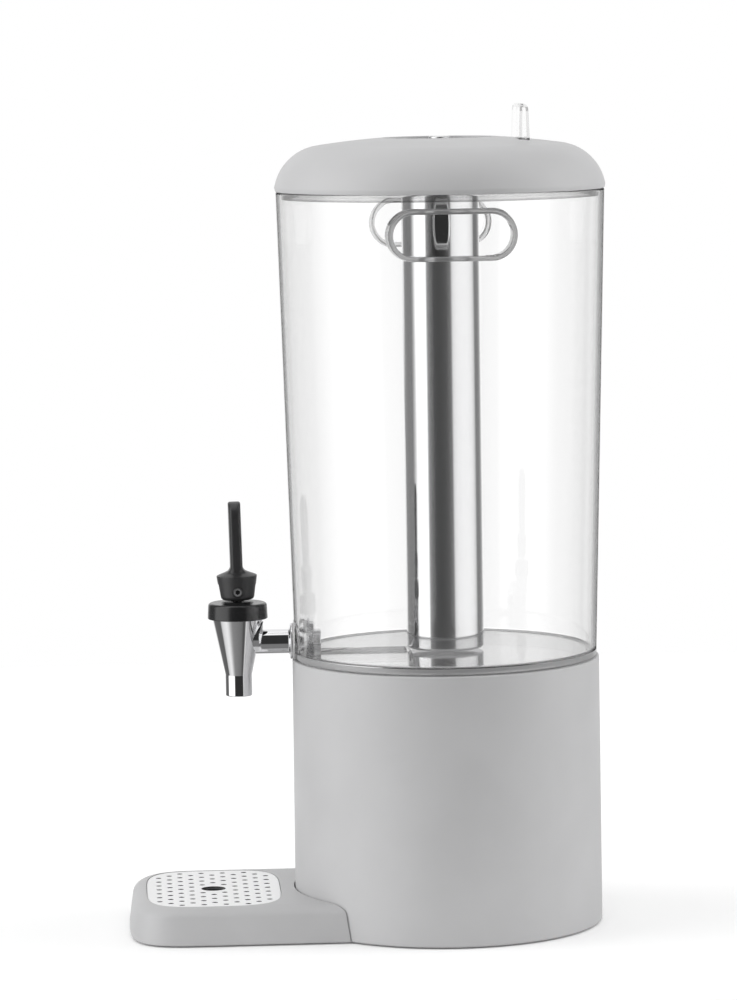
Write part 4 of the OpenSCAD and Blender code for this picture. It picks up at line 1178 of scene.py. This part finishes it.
def perforations():  # a plate with its staggered holes, cut where the outline leaves room
    tree, entry = startTree("perforatedPlate", {
        "Outline": "Geometry", "Thickness": "Float", "Hole Radius": "Float", "Drain Radius": "Float",
        "Row Step": "Float", "Hole Step": "Float", "Rows": "Int", "Columns": "Int",
        "Half Width": "Float", "Half Depth": "Float", "Power": "Float", "Reach": "Float",
        "Material": "Material",
    }, "Plate")

    def work(operation, *values):
        return calc(tree, operation, *values)

    def fromMiddle(number, count):
        return work("SUBTRACT", number, work("FLOOR", work("DIVIDE", count, 2)))

    def share(distance, half):
        return work("POWER", work("ABSOLUTE", work("DIVIDE", distance, half)), entry["Power"])

    index = addNode(tree, "GeometryNodeInputIndex")
    row = work("FLOOR", work("DIVIDE", index, entry["Columns"]))
    column = work("SUBTRACT", index, work("MULTIPLY", row, entry["Columns"]))
    rowNumber = fromMiddle(row, entry["Rows"])
    even = work("SUBTRACT", 1, work("MODULO", work("ABSOLUTE", rowNumber), 2))
    columnNumber = work("ADD", fromMiddle(column, entry["Columns"]), work("MULTIPLY", even, 0.5))
    x = work("MULTIPLY", columnNumber, entry["Hole Step"])
    y = work("MULTIPLY", rowNumber, entry["Row Step"])
    place = addNode(tree, "ShaderNodeCombineXYZ", {"X": x, "Y": y})
    points = addNode(tree, "GeometryNodePoints", {
        "Count": work("MULTIPLY", entry["Rows"], entry["Columns"]), "Position": place,
    })
    shares = work("ADD", share(x, entry["Half Width"]), share(y, entry["Half Depth"]))
    outside = work("GREATER_THAN", shares, entry["Reach"])
    distance = work("SQRT", work("ADD", work("MULTIPLY", x, x), work("MULTIPLY", y, y)))
    room = work("ADD", entry["Drain Radius"], work("MULTIPLY", entry["Hole Radius"], 2))
    # the row and column numbers are taken before any point goes
    marked = addNode(tree, "GeometryNodeStoreNamedAttribute", {
        "Name": "drop", "Geometry": points,
        "Value": work("MAXIMUM", outside, work("LESS_THAN", distance, room)),
    }, data_type="FLOAT", domain="POINT")
    mark = addNode(tree, "GeometryNodeInputNamedAttribute", {"Name": "drop"}, data_type="FLOAT")
    kept = addNode(tree, "GeometryNodeDeleteGeometry", {
        "Geometry": marked,
        "Selection": work("GREATER_THAN", mark, 0.5),
    }, domain="POINT")
    holes = addNode(tree, "GeometryNodeInstanceOnPoints", {
        "Points": kept, "Instance": circle(tree, entry["Hole Radius"], grid["holeSides"]),
    })
    drain = circle(tree, entry["Drain Radius"], grid["drainSides"])
    edge = addNode(tree, "GeometryNodeMeshToCurve", {"Mesh": entry["Outline"]})
    curves = addNode(tree, "GeometryNodeRealizeInstances", {
        "Geometry": joined(tree, holes, drain, edge),
    })
    fill = addNode(tree, "GeometryNodeFillCurve", {"Curve": curves})
    up = addNode(tree, "ShaderNodeCombineXYZ", {"Z": entry["Thickness"]})
    lift = addNode(tree, "GeometryNodeExtrudeMesh",
                   {"Individual": False, "Mesh": fill, "Offset": up}, mode="FACES")
    flip = addNode(tree, "GeometryNodeFlipFaces", {"Mesh": fill})
    return endTree(tree, merged(tree, joined(tree, lift, flip), 1e-5), entry["Material"])


def makeGrid():
    g = grid
    halfX, halfY = g["width"] / 2, g["depth"] / 2
    outline = squareOval(halfX, halfY, g["outlineSteps"])
    piece = addObject("dripGrid", outlineMesh("dripGrid", outline))
    grow(piece, perforations(), {
        "Thickness": g["thick"] * mm, "Hole Radius": g["hole"] / 2 * mm,
        "Drain Radius": g["drain"] / 2 * mm, "Row Step": g["rowStep"] * mm,
        "Hole Step": g["holeStep"] * mm, "Rows": g["rows"], "Columns": g["columns"],
        "Half Width": halfX * mm, "Half Depth": halfY * mm, "Power": tray["power"],
        "Reach": g["reach"], "Material": whitePlastic,
    })
    roundEdges(piece, g["edgeRound"], 2, 50)
    piece.data.transform(Matrix.Translation(Vector((0, -tray["middle"], tray["ledge"])) * mm))
    dress(piece, "grid", whitePlastic, "drip_grid")

    def shaded(place, polygon):  # the walls of the holes, painted dark as the shade inside them
        x = place.x / (halfX - g["border"])
        y = (place.y + tray["middle"]) / (halfY - g["border"])
        inside = abs(x) ** tray["power"] + abs(y) ** tray["power"] < 1
        return inside and abs(polygon.normal.z) < g["steep"]

    finishFaces(piece, [holeShadePaint], shaded)


makeTray()
makeGrid()
print("tray and grid made")


carried = {  # nodes that keep their CAD shape
    "base_cover": darkPlastic, "lid_seal": sealSilicone,
    **dict.fromkeys(("base_screws", "tap_nut", "tap_stem"), fittingSteel),
    **dict.fromkeys(("foot_ring", "tray_feet"), blackRubber),
    **dict.fromkeys(("outer_washer", "inner_washer", "seat_cup", "tube_gasket", "cap_ring"),
                    whiteSilicone),
}
for nodeName, material in carried.items():
    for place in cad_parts[nodeName].material_slots:
        place.material = material
print("carried nodes finished")
